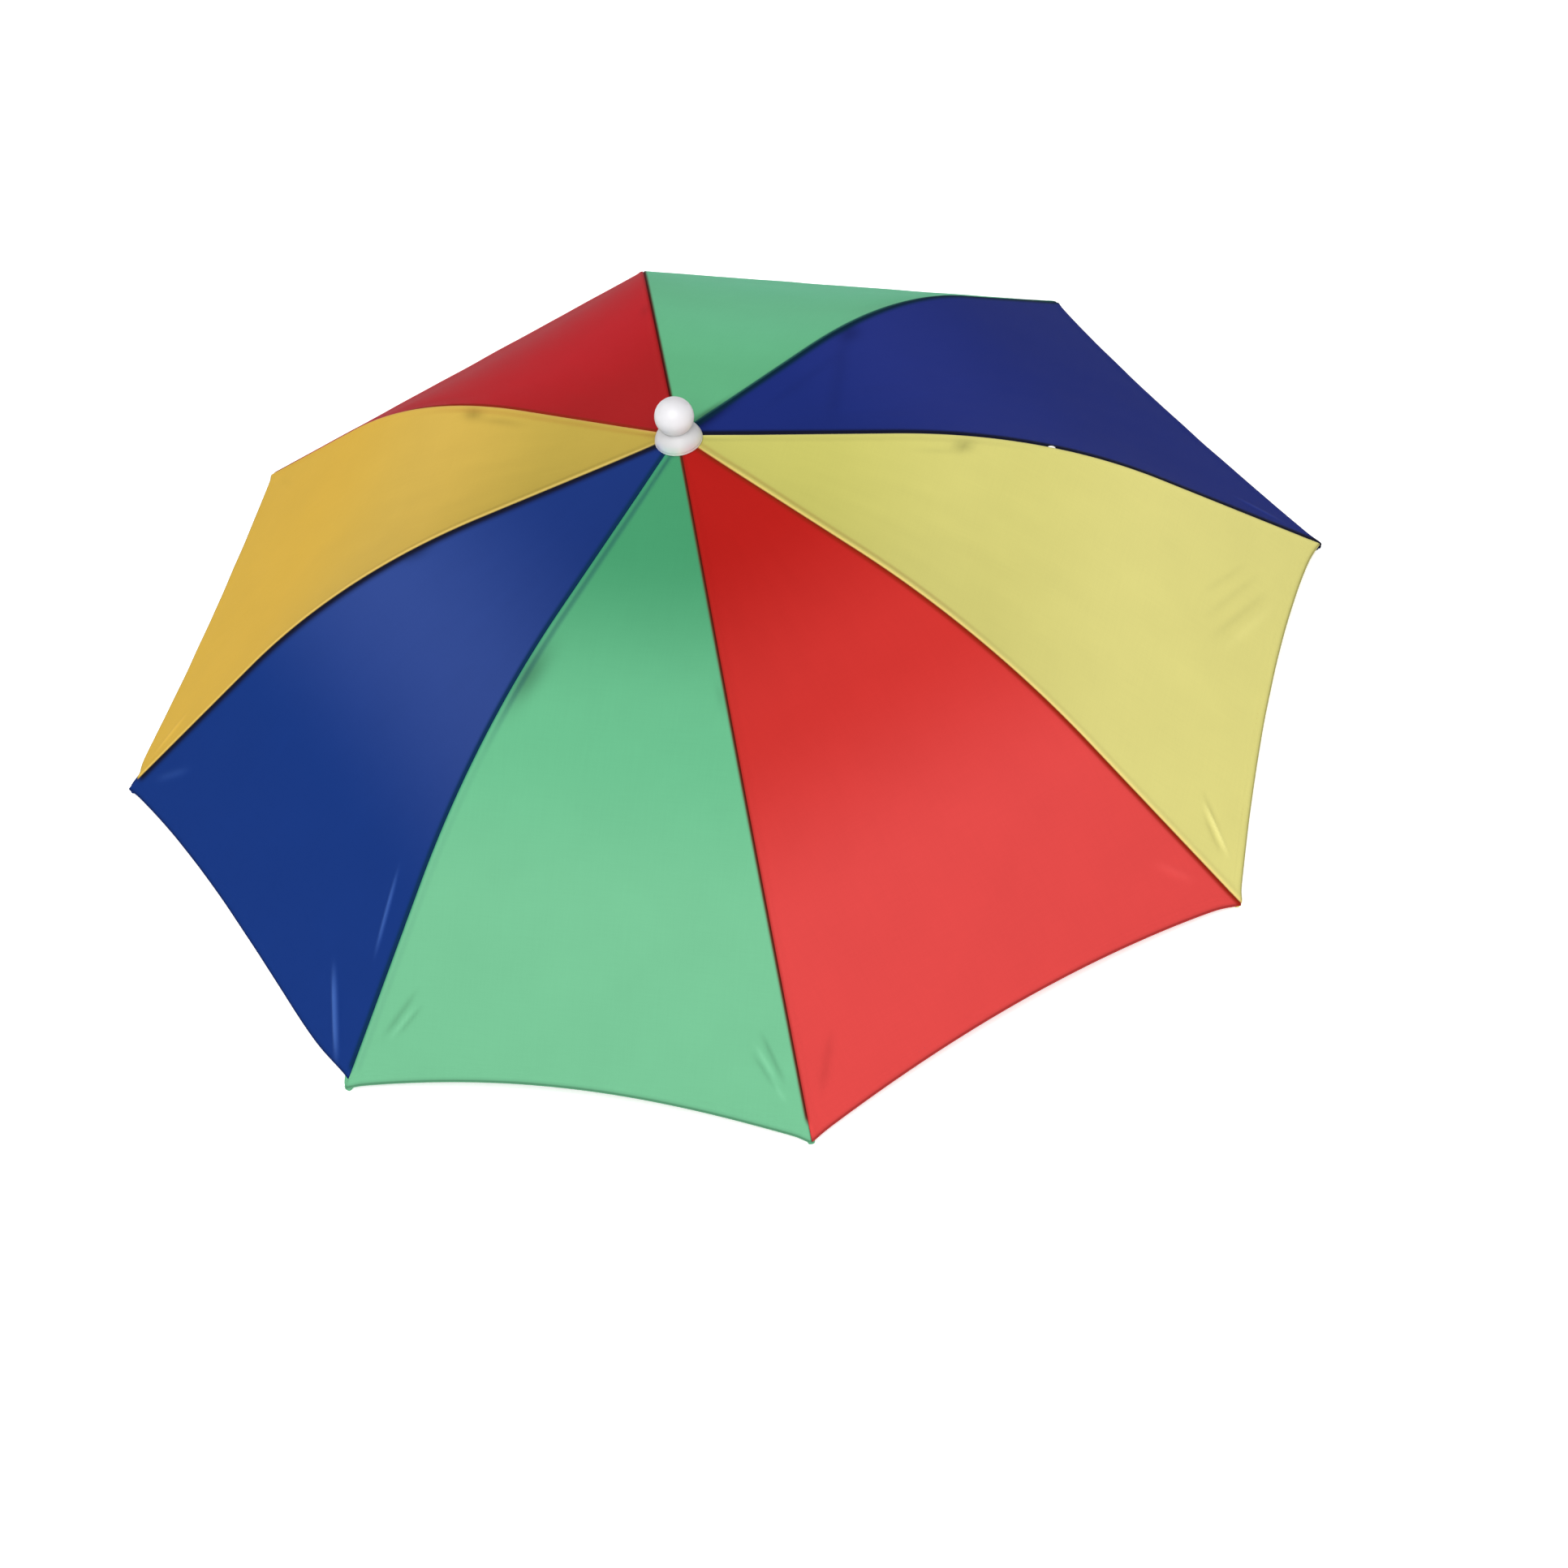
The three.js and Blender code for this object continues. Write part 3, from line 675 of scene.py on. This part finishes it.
def panel_tint(index, run, away, shine, from_hem):
    """The colour at each point, with painted light and shade: the tones from crown to rim, painted shade in
    the seams, in creases and at the hem, painted highlights on ridges and raised edges, and painted shadows
    of the frame.
    """
    panel = PANELS[index]
    # The cloth's own colour, with painted shade at the crown and a painted highlight at the bend and rim
    colour = np.broadcast_to(panel["crown"], run.shape + (3,))
    colour = blend(colour, panel["bend"], smooth(*TONE_RUNS[:2], run))
    colour = blend(colour, panel["rim"], smooth(*TONE_RUNS[1:], run))
    # Painted shadows of the frame seen through the cloth, and beside the knob
    for mark in PAINTED_SHADOWS:
        if mark["panel"] != panel["name"]:
            continue
        along = (run - mark["run"]) / mark["length"]
        beside = (away[mark["side"]] - mark["away"]) / mark["width"]
        colour = colour * (1 - mark["strength"] * hump(along, beside))[..., None]
    # Painted shade in creases and painted highlights on ridges
    colour = colour * (1 + FOLD_SHADE * shine)[..., None]
    light = np.sqrt(colour / colour.max(axis=-1, keepdims=True))
    colour = blend(colour, light, FOLD_SHINE * np.maximum(shine, 0))
    # Painted shade along the hem, where the cloth turns under
    colour = colour * (1 - HEM_SHADE * hump((from_hem - HEM_LINE) / HEM_LINE))[..., None]
    # Painted shadow and highlight lines along the seams
    for side, distance in enumerate(away):
        seam = SEAMS[(index + side) % RIBS]
        colour = seam_tint(colour, seam, panel["sides"][side] is RAISED_SIDE, run, distance)
    return colour


def seam_tint(colour, seam, raised, run, distance):
    """The painted shadow line in a seam's fold and, on its raised side, the painted highlight on the edge
    beside it and the painted shade line past that.
    """
    stop = seam["stop"]
    kept = 1 - smooth(rib_run - 2 * stop, rib_run - stop, run) if stop else np.ones_like(run)
    if not raised:
        return blend(colour, seam["line"], kept * (1 - smooth(*(seam["width"] * LINE_FADE), distance)))
    past = seam["edge"] * hump((distance - EDGE_LINE) / EDGE_LINE_WIDTH)
    past = past * (1 - EDGE_LINE_LOSS * smooth(*EDGE_LINE_RUNS, run))
    colour = blend(colour, seam["line"], past * kept)
    colour = blend(colour, seam["lip"], seam["share"] * kept * (1 - smooth(*LIP_FADE, distance)))
    return blend(colour, seam["line"], FOLD_LINE * kept * (1 - smooth(*FOLD_LINE_FADE, distance)))


def panel_piece(index):
    """One panel as a sheet from the pin's hole to the hem, with the size and area of its flat cut."""
    panel = PANELS[index]
    left, right = ribs[index], ribs[(index + 1) % RIBS]
    start = (PIN_RADIUS + FIT + SEAM_GAP) / math.cos(math.pi / RIBS)
    plain = np.linspace(start, FINE_RUN, PLAIN_ROWS)
    fine = np.linspace(FINE_RUN, rib_run + HEM[0][0], FINE_ROWS + 1)[1:]
    hem_row = len(plain) + len(fine) - 1  # the first row that keeps a fixed distance from the hem
    nominal = np.concatenate([plain, fine, [rib_run + offset for offset, _ in HEM[1:]]])
    row_depth = np.concatenate([np.zeros(hem_row), [depth for _, depth in HEM]])

    width = np.linalg.norm(over_rib(left, nominal)[0] - over_rib(right, nominal)[0], axis=1) - SEAM_GAP
    share, column_depth, crossing = column_places(width, panel["sides"])
    narrowing = (1 - ALLOWANCE_CUT * smooth(*ALLOWANCE_RUNS, nominal))[:, None]
    share = np.where(crossing < 0, share * narrowing, share)
    share = np.where(crossing > 0, 1 + (share - 1) * narrowing, share)
    flat_share = np.where(crossing > 0, 1 - np.abs(1 - share), np.abs(share))
    away = flat_share * width[:, None], (1 - flat_share) * width[:, None]
    hem = hem_run(index, flat_share, away)
    reached = (nominal - start) / (rib_run + HEM[0][0] - start)
    run = start + (hem + HEM[0][0] - start) * reached[:, None]
    for row, (offset, _) in enumerate(HEM):
        run[hem_row + row] = hem[hem_row + row] + offset

    folds, shine = fold_relief(panel, run, away)
    relief = folds + ripple_relief(index, run, flat_share)
    depth = sag_depth(run, flat_share) - relief + column_depth + row_depth[:, None]

    left_points, left_normals = over_rib(left, run, -SEAM_GAP / 2)
    right_points, right_normals = over_rib(right, run, SEAM_GAP / 2)
    depth, weight = depth[..., None], flat_share[..., None]
    points = (left_points - depth * left_normals) * (1 - weight)
    points = points + (right_points - depth * right_normals) * weight
    for sign, rib in ((-1, left), (1, right)):
        mirror = direction_of(rib)[1]
        past_seam = crossing == sign
        points[:, past_seam] -= 2 * (points[:, past_seam] @ mirror)[..., None] * mirror

    rows, columns = share.shape
    faces = [face[::-1] for face in grid_faces(rows, columns)]
    part = (points.reshape(-1, 3), faces)
    piece = make(panel["name"] + "_cloth", part, cloth, [panel["name"]])
    # The cloth's colour, with its painted light and shade
    set_tint(piece, panel_tint(index, run, away, shine, hem - run))
    set_cut(piece, np.stack([(share - 0.5) * width[:, None], run], -1).reshape(-1, 2))
    layer = piece.modifiers.new("layer", "SOLIDIFY")
    layer.thickness = LAYER * MM
    layer.offset = -1
    cut_width = float(width.max() + 2 * RAISED_SIDE[0][0])
    cut_length = float(rib_run - start - HEM[-1][0])
    steps = np.diff(nominal[: hem_row + 1])
    area = float(((width[:hem_row] + width[1 : hem_row + 1]) / 2 * steps).sum())
    area += (cut_width - width.max()) * cut_length
    return piece, (cut_width * MM, cut_length * MM), area * MM * MM


def set_tint(piece, tint):
    """The colour of each point, for the cloth to take."""
    values = np.concatenate([tint, np.ones(tint.shape[:-1] + (1,))], -1)
    attribute = piece.data.color_attributes.new("tint", "FLOAT_COLOR", "POINT")
    attribute.data.foreach_set("color", values.ravel().astype(np.float32))


def set_cut(piece, place):
    """A UV map in millimetres of the flat cut, for the weave to follow."""
    layer = piece.data.uv_layers.new(name="cut")
    corners = np.empty(len(piece.data.loops), int)
    piece.data.loops.foreach_get("vertex_index", corners)
    layer.data.foreach_set("uv", place[corners].ravel().astype(np.float32))


# Ribs

RIB_STEPS = 70
WIRE_SIDES = 14
FOOT_SIDES = 20
# The blunt foot at a rib's tip: radius and height
FOOT = [
    (AXIS, 0), (1.15, 0), (1.26, 0.1), (1.32, 0.5), (1.32, 1.4), (1.2, 2.0), (0.8, 2.5), (AXIS, 2.7),
]


def rib_piece(number):
    """A rib's wire, with the foot that it stands on."""
    path = under_rib(ribs[number - 1], np.linspace(RIB_START, rib_run, RIB_STEPS), rib_depth)
    foot = turned(FOOT, FOOT_SIDES, (path[-1][0], path[-1][1], 0))
    part = joined([tube(path, RIB_RADIUS, WIRE_SIDES), foot])
    return make(f"rib_wire_{number}", part, steel, [f"rib_{number}"])


# Pockets of doubled cloth that hold the ribs' tips, each a flat corner with a cap round the wire's end
POCKET_INSIDE = 8  # how far a pocket's flat corner reaches in from the tip
POCKET_HALF_WIDTHS = (3.4, 1.6)  # of the flat corner, at its inner end and at its outer end
POCKET_DEPTHS = (0.42, 1.42)  # its top and bottom below the cloth's face
CAP_HALF_SIZES = (2.2, 1.6, 1.55)  # along the rib, across it and up
CAP_SHIFT = 0.5  # from the wire's end to the middle of the cap, inwards
POCKET_STEPS = 26
POCKET_SIDES = 28
POCKET_CORNER = 3.5  # the higher this power, the squarer the corners
POCKET_END = 0.0001  # keeps its ends from closing to a point
CAP_LIFT = 0.05  # off the floor


def pocket_swell():
    """The size of each of a rounded block's sections, from end to end, and the section's outline."""
    share = np.linspace(-1, 1, POCKET_STEPS)
    swell = (1 + POCKET_END - np.abs(share) ** POCKET_CORNER) ** (1 / POCKET_CORNER)
    turn = round_turn(POCKET_SIDES)
    power = 2 / POCKET_CORNER
    wide = np.sign(np.cos(turn)) * np.abs(np.cos(turn)) ** power
    deep = np.sign(np.sin(turn)) * np.abs(np.sin(turn)) ** power
    return share, swell[:, None], wide, deep


def pocket_piece(pocket):
    """The doubled corner that holds a rib's tip, in the rim colour of the panel that it belongs to, darkened
    by painted shade.
    """
    panel = next(panel for panel in PANELS if panel["name"] == pocket["panel"])
    rib = ribs[pocket["rib"] - 1]
    share, swell, wide, deep = pocket_swell()
    along = ((share + 1) / 2)[:, None]
    run = rib_run - POCKET_INSIDE * (1 - along)
    half_width = POCKET_HALF_WIDTHS[0] + (POCKET_HALF_WIDTHS[1] - POCKET_HALF_WIDTHS[0]) * along
    aside = half_width * swell * wide
    middle, half_depth = sum(POCKET_DEPTHS) / 2, (POCKET_DEPTHS[1] - POCKET_DEPTHS[0]) / 2
    depth = middle - half_depth * swell * deep
    face, normal = over_rib(rib, np.broadcast_to(run, aside.shape), aside)
    flat = face - depth[..., None] * normal

    wire_end = under_rib(rib, rib_run, rib_depth)
    out, across = direction_of(rib)
    length, width, height = CAP_HALF_SIZES
    centre = wire_end - CAP_SHIFT * out + pocket["aside"] * across
    centre[2] = height + CAP_LIFT
    cap = centre + (length * share)[:, None, None] * out + (width * swell * wide)[..., None] * across
    cap[..., 2] += height * swell * deep

    faces = ring_faces(POCKET_STEPS, POCKET_SIDES)
    part = joined([(flat.reshape(-1, 3), faces), (cap.reshape(-1, 3), faces)])
    piece = make(f"tip_pocket_{pocket['rib']}", part, cloth)
    # The panel's rim colour with painted shade on the pocket
    set_tint(piece, np.broadcast_to(panel["rim"] * pocket["shade"], (len(part[0]), 3)))
    set_cut(piece, np.stack([part[0] @ across, part[0] @ out], -1))
    return piece


# Hem stitches, and one white tack on a seam
STITCH_PITCH = 3.0
STITCH_LENGTH = 2.1
STITCH_RADIUS = 0.17
STITCH_IN = 4.4  # from the hem
STITCH_ENDS = 5  # clear of the ribs
STITCH_SIDES = 6
STITCH_RISE = np.array([-0.9, 0.5, 0.75, 0.5, -0.9])  # above the cloth along it, as shares of its radius
TACK_RUN = 167.5
TACK_ASIDE = 0.1
TACK_LENGTH = 3.2
TACK_RADIUS = 0.42
TACK_SIDES = 10
TACK_DEPTHS = np.array([0.5, 0.0, -0.2, -0.25, -0.2, 0.0, 0.5])  # below the cloth's face along it


def stitches_piece(index):
    """The row of stitches along a panel's hem."""
    panel = PANELS[index]
    left, right = ribs[index], ribs[(index + 1) % RIBS]
    ends = [over_rib(rib, np.array(rib_run - STITCH_IN))[0] for rib in (left, right)]
    width = float(np.linalg.norm(ends[0] - ends[1]))
    count = int((width - 2 * STITCH_ENDS) / STITCH_PITCH)
    first = (width - (count - 1) * STITCH_PITCH) / 2
    parts = []
    for number in range(count):
        middle = first + number * STITCH_PITCH
        share = (middle + np.linspace(-0.5, 0.5, len(STITCH_RISE)) * STITCH_LENGTH) / width
        run = hem_run(index, share, (share * width, (1 - share) * width)) - STITCH_IN
        depth = (sag_depth(run, share) - STITCH_RADIUS * STITCH_RISE)[:, None]
        sides = []
        for rib, sign in ((left, -1), (right, 1)):
            face, normal = over_rib(rib, run, sign * SEAM_GAP / 2)
            sides.append(face - depth * normal)
        weight = share[:, None]
        parts.append(tube(sides[0] * (1 - weight) + sides[1] * weight, STITCH_RADIUS, STITCH_SIDES))
    return make(f"hem_stitches_{index + 1}", joined(parts), threads[panel["slot"]])


def tack_piece():
    """A short white thread on the third rib's seam, which dips into the cloth at both ends."""
    run = TACK_RUN + np.linspace(-0.5, 0.5, len(TACK_DEPTHS)) * TACK_LENGTH
    path = under_rib(ribs[2], run, TACK_DEPTHS[:, None], TACK_ASIDE)
    return make("seam_tack", tube(path, TACK_RADIUS, TACK_SIDES), white_thread)


# Knob

KNOB_SIDES = 96
FLARE_STEPS = 18
FLARE_START = 0.06  # the share of the flare that the round edge takes up
EDGE_STEPS = 7
NECK_LIP = 0.3  # how far the neck reaches into the ball
BALL_STEPS = 49
POLE = 0.002  # an angle that stands for the ball's pole
# How strongly the skirt is painted with light in the colour of the cloth below it, and how far that spreads
TINT_SHARE = 0.3
TINT_SPREAD = 5  # sides
TINT_HEIGHTS = (0.5, 5)  # above the rim, where that painted light fades


def crown_height(radius, depth):
    """The height near the crown at a depth below the cloth's face."""
    return peak - radius * math.tan(crown_slope) - depth / math.cos(crown_slope)


def skirt_tint(profile, rim):
    """The frosted skirt is painted with some of the colour of the cloth under its rim: painted light in the
    cloth's colour.
    """
    cloths = []
    for angle in round_turn(KNOB_SIDES):
        turn = (ribs[0]["angle"] - angle) % (2 * math.pi)
        cloths.append(PANELS[int(turn / (2 * math.pi) * RIBS) % RIBS]["crown"])
    shifts = range(-TINT_SPREAD, TINT_SPREAD + 1)
    near = np.mean([np.roll(cloths, shift, axis=0) for shift in shifts], axis=0)
    near = near / near.max(axis=1, keepdims=True)
    low, high = TINT_HEIGHTS
    share = TINT_SHARE * (1 - smooth(rim + low, rim + high, profile[:, 1]))
    return 1 + (near - 1) * share[:, None, None]


def knob_pieces():
    """A frosted skirt with its pin, and the ball that sits in its neck."""
    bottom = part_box("crown_knob")[0].z / MM
    ball_centre = peak + BALL_LIFT
    neck_angle = math.asin(NECK_RADIUS / BALL_RADIUS)
    neck = ball_centre - BALL_RADIUS * math.cos(neck_angle)
    rim = crown_height(SKIRT_RADIUS, -FIT)
    corner = np.array([
        NECK_RADIUS + (SKIRT_RADIUS - NECK_RADIUS) * SKIRT_BELL[0],
        rim + SKIRT_EDGE + (neck - rim - SKIRT_EDGE) * SKIRT_BELL[1],
    ])
    outer, inner = np.array([SKIRT_RADIUS, rim + SKIRT_EDGE]), np.array([NECK_RADIUS, neck])
    flare = curve(outer, corner, inner, np.linspace(FLARE_START, 1, FLARE_STEPS)[:, None])
    turn = np.linspace(-math.pi / 2, math.pi / 2, EDGE_STEPS)[:, None]
    edge = np.array([SKIRT_RADIUS, rim]) + SKIRT_EDGE / 2 * np.hstack([np.cos(turn) - 1, np.sin(turn) + 1])
    pin = [(AXIS, bottom), (PIN_RADIUS, bottom), (PIN_RADIUS, crown_height(PIN_RADIUS, -FIT))]
    top = [(NECK_RADIUS, neck + NECK_LIP), (AXIS, neck + NECK_LIP)]
    profile = np.concatenate([pin, edge, flare, top])
    skirt = make("knob_skirt", turned(profile, KNOB_SIDES), frosted_plastic, ["crown_knob"])
    # Painted light from the cloth under the skirt's rim
    set_tint(skirt, skirt_tint(profile, rim))
    angles = np.linspace(POLE, math.pi - POLE, BALL_STEPS)
    ball = np.stack([BALL_RADIUS * np.sin(angles), ball_centre - BALL_RADIUS * np.cos(angles)], -1)
    make("knob_ball", turned(ball, KNOB_SIDES), ball_plastic, ["crown_knob"])


# Braces

BRACE_STEPS = 13
EYE_STEPS = 28
EYE_SIDES = 12


def joint_axes(rib):
    """The middle of a rib's wire at its bracket, with the directions along it, across it and up."""
    back, front = under_rib(rib, [JOINT_RUN - JOINT_LENGTH / 2, JOINT_RUN + JOINT_LENGTH / 2], rib_depth)
    along = (front - back) / np.linalg.norm(front - back)
    across = direction_of(rib)[1]
    return (back + front) / 2, across, np.cross(along, across)


def eye(centre, axis, start, radius, thickness):
    """A torus about an axis, from a direction that is square to it."""
    other = np.cross(axis, start)
    points = []
    for angle in round_turn(EYE_STEPS):
        out = math.cos(angle) * start + math.sin(angle) * other
        for turn in round_turn(EYE_SIDES):
            reach = radius + thickness * math.cos(turn)
            points.append(centre + reach * out + thickness * math.sin(turn) * axis)
    return np.array(points), grid_faces(EYE_STEPS, EYE_SIDES, round_rows=True, round_columns=True)


def brace_piece(number):
    """A brace's wire, from its eye round the bracket's rivet down into the clip."""
    rib = ribs[number - 1]
    middle, across, up = joint_axes(rib)
    pivot = middle - RIVET_DEPTH * up
    low, high = (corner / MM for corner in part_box(f"band_clip_{number}"))
    out = direction_of(rib)[0]
    clip = np.array([(low.x + high.x) / 2, (low.y + high.y) / 2, 0])
    corner = out * (clip @ out) + np.array([0, 0, high.z + BRACE_BEND])
    along = (corner - pivot) / np.linalg.norm(corner - pivot)
    hole = RIVET_RADIUS + FIT
    eye_middle, eye_thickness = (EYE_RADIUS + hole) / 2, (EYE_RADIUS - hole) / 2
    top = corner - np.array([0, 0, BRACE_BEND])
    bend = curve(corner - BRACE_BEND * along, corner, top, np.linspace(0, 1, BRACE_STEPS)[:, None])
    path = np.concatenate([[pivot + eye_middle * along], bend, [top - np.array([0, 0, BRACE_SOCKET])]])
    parts = [tube(path, BRACE_RADIUS, WIRE_SIDES), eye(pivot, across, along, eye_middle, eye_thickness)]
    return make(f"brace_wire_{number}", joined(parts), steel, [f"brace_{number}"])


# Headband

BAND_STEPS = 240
BAND_EDGE = 0.9  # rounding
BAND_EDGE_STEPS = 5
BAND_WAVES = 46
BAND_WAVE = 0.08
OVERLAP_ANGLE = math.radians(67.5)  # where its ends are sewn together, midway between two clips
OVERLAP_HALF = math.radians(5)
OVERLAP_EDGE = 0.1  # how sharply it begins and ends, as a share of its half
OVERLAP_RAISE = 0.7


def band_piece():
    """A ring of elastic with a faint wave, and thicker where its ends are sewn together."""
    low, high = (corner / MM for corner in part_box("headband"))
    outer, inner = high.x, high.x - BAND_THICKNESS
    turn = np.linspace(0, math.pi / 2, BAND_EDGE_STEPS)
    corners = [
        (outer - BAND_EDGE, low.z + BAND_EDGE, -math.pi / 2), (outer - BAND_EDGE, high.z - BAND_EDGE, 0),
        (inner + BAND_EDGE, high.z - BAND_EDGE, math.pi / 2), (inner + BAND_EDGE, low.z + BAND_EDGE, math.pi),
    ]
    section = []
    for radius, height, first in corners:
        arc = np.stack([np.cos(first + turn), np.sin(first + turn)], -1)
        section.append(np.array([radius, height]) + BAND_EDGE * arc)
    section = np.concatenate(section)
    angle = round_turn(BAND_STEPS)[:, None]
    away = np.abs((angle - OVERLAP_ANGLE + math.pi) % (2 * math.pi) - math.pi) / OVERLAP_HALF
    overlap = OVERLAP_RAISE * (1 - smooth(1 - OVERLAP_EDGE, 1 + OVERLAP_EDGE, away))
    outward = section[:, 0] > (outer + inner) / 2
    radius = section[:, 0] + BAND_WAVE * np.sin(BAND_WAVES * angle) + np.where(outward, overlap, 0)
    height = np.broadcast_to(section[:, 1], radius.shape)
    points = np.stack([radius * np.cos(angle), radius * np.sin(angle), height], -1)
    faces = grid_faces(BAND_STEPS, len(section), round_rows=True, round_columns=True)
    piece = make("headband_elastic", (points.reshape(-1, 3), faces), elastic, ["headband"])
    set_cut(piece, np.stack([angle * radius, height], -1).reshape(-1, 2))
    return piece


# Assembly

for number in range(1, RIBS + 1):
    rib_piece(number)
    brace_piece(number)
knob_pieces()
tack_piece()
band = band_piece()

pockets = [(corner["panel"], pocket_piece(corner)) for corner in CORNERS]
for index in range(RIBS):
    piece, flat, area = panel_piece(index)
    extras = [stitches_piece(index)]
    extras += [pocket for owner, pocket in pockets if owner == PANELS[index]["name"]]


# Stage: camera, light and floor

def aim(thing, direction, roll=0.0):
    thing.rotation_mode = "QUATERNION"
    turn = Quaternion((0, 0, 1), -math.radians(roll))
    thing.rotation_quaternion = direction.to_track_quat("-Z", "Y") @ turn


def add_camera():
    data = bpy.data.cameras.new("camera")
    data.lens = CAMERA_LENS
    data.sensor_width = SENSOR
    camera = add_object("camera", data)
    camera.location = CAMERA_PLACE
    aim(camera, CAMERA_AIM, CAMERA_ROLL)
    bpy.context.scene.camera = camera


# Each light: the direction that it comes from in degrees, where azimuth 0 is the front and 90 the
# right, its diameter in metres and its power in watts
LIGHTS = [
    {"name": "key", "azimuth": -6, "elevation": 58, "size": 2.0, "power": 56.0},
    {"name": "side", "azimuth": -131, "elevation": 42, "size": 1.0, "power": 9.0},
]
LIGHT_DISTANCE = 2.4
AMBIENT_FRONT = 0.62
AMBIENT_BACK = 0.2
FLOOR_HALF = 12  # half the floor's side, in metres


def add_light(name, azimuth, elevation, size, power):
    data = bpy.data.lights.new(name, "AREA")
    data.shape = "DISK"
    data.size = size
    data.energy = power
    light = add_object(name, data)
    turn, lift = math.radians(azimuth), math.radians(elevation)
    back = Vector((math.sin(turn) * math.cos(lift), -math.cos(turn) * math.cos(lift), math.sin(lift)))
    light.location = back * LIGHT_DISTANCE
    aim(light, -back)


def add_world():
    """Even light that is strongest in front and weakest behind."""
    world = bpy.data.worlds.new("studio")
    world.use_nodes = True
    tree = world.node_tree
    place = tree.nodes.new("ShaderNodeTexCoord")
    parts = tree.nodes.new("ShaderNodeSeparateXYZ")
    light = tree.nodes.new("ShaderNodeMapRange")
    ends = {"From Min": 1, "From Max": -1, "To Min": AMBIENT_BACK, "To Max": AMBIENT_FRONT}
    for socket, value in ends.items():
        light.inputs[socket].default_value = value
    background = tree.nodes["Background"]
    background.inputs["Color"].default_value = WHITE
    tree.links.new(place.outputs["Generated"], parts.inputs[0])
    tree.links.new(parts.outputs["Y"], light.inputs["Value"])
    tree.links.new(light.outputs[0], background.inputs["Strength"])
    bpy.context.scene.world = world


def add_floor():
    """A pale floor that is seen only from above, so that the hat can be looked at from below."""
    nodes = Nodes("floor")
    noise = nodes.noise(nodes.object_space(), scale=3.0)
    nodes.set(Base_Color=nodes.mix(noise, (0.9, 0.9, 0.892), (0.93, 0.93, 0.922)), Roughness=0.9)
    nodes.set(Specular_IOR_Level=0.1, Emission_Color=WHITE, Emission_Strength=0.45)
    facing = nodes.add("ShaderNodeNewGeometry").outputs["Backfacing"]
    clear = nodes.add("ShaderNodeBsdfTransparent").outputs[0]
    both = nodes.add("ShaderNodeMixShader", [(0, facing), (1, nodes.shader.outputs[0]), (2, clear)])
    nodes.tree.links.new(both.outputs[0], nodes.tree.nodes["Material Output"].inputs["Surface"])
    mesh = bpy.data.meshes.new("floor")
    corners = [(x * FLOOR_HALF, y * FLOOR_HALF, 0) for x, y in ((-1, -1), (1, -1), (1, 1), (-1, 1))]
    mesh.from_pydata(corners, [], [(0, 1, 2, 3)])
    mesh.materials.append(nodes.material)
    add_object("floor", mesh)


add_camera()
add_world()
add_floor()
for light in LIGHTS:
    add_light(**light)
bpy.context.scene.view_settings.view_transform = "Standard"

# The moulded pieces whose CAD shape shows, with their edges rounded
EDGE_ROUNDING = 0.25
for name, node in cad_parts.items():
    if name.startswith(("rib_joint", "band_clip", "crown_hub")):
        node.material_slots[0].material = joint_plastic
        rounded = node.modifiers.new("rounded", "BEVEL")
        rounded.width = EDGE_ROUNDING * MM
        rounded.segments = 2
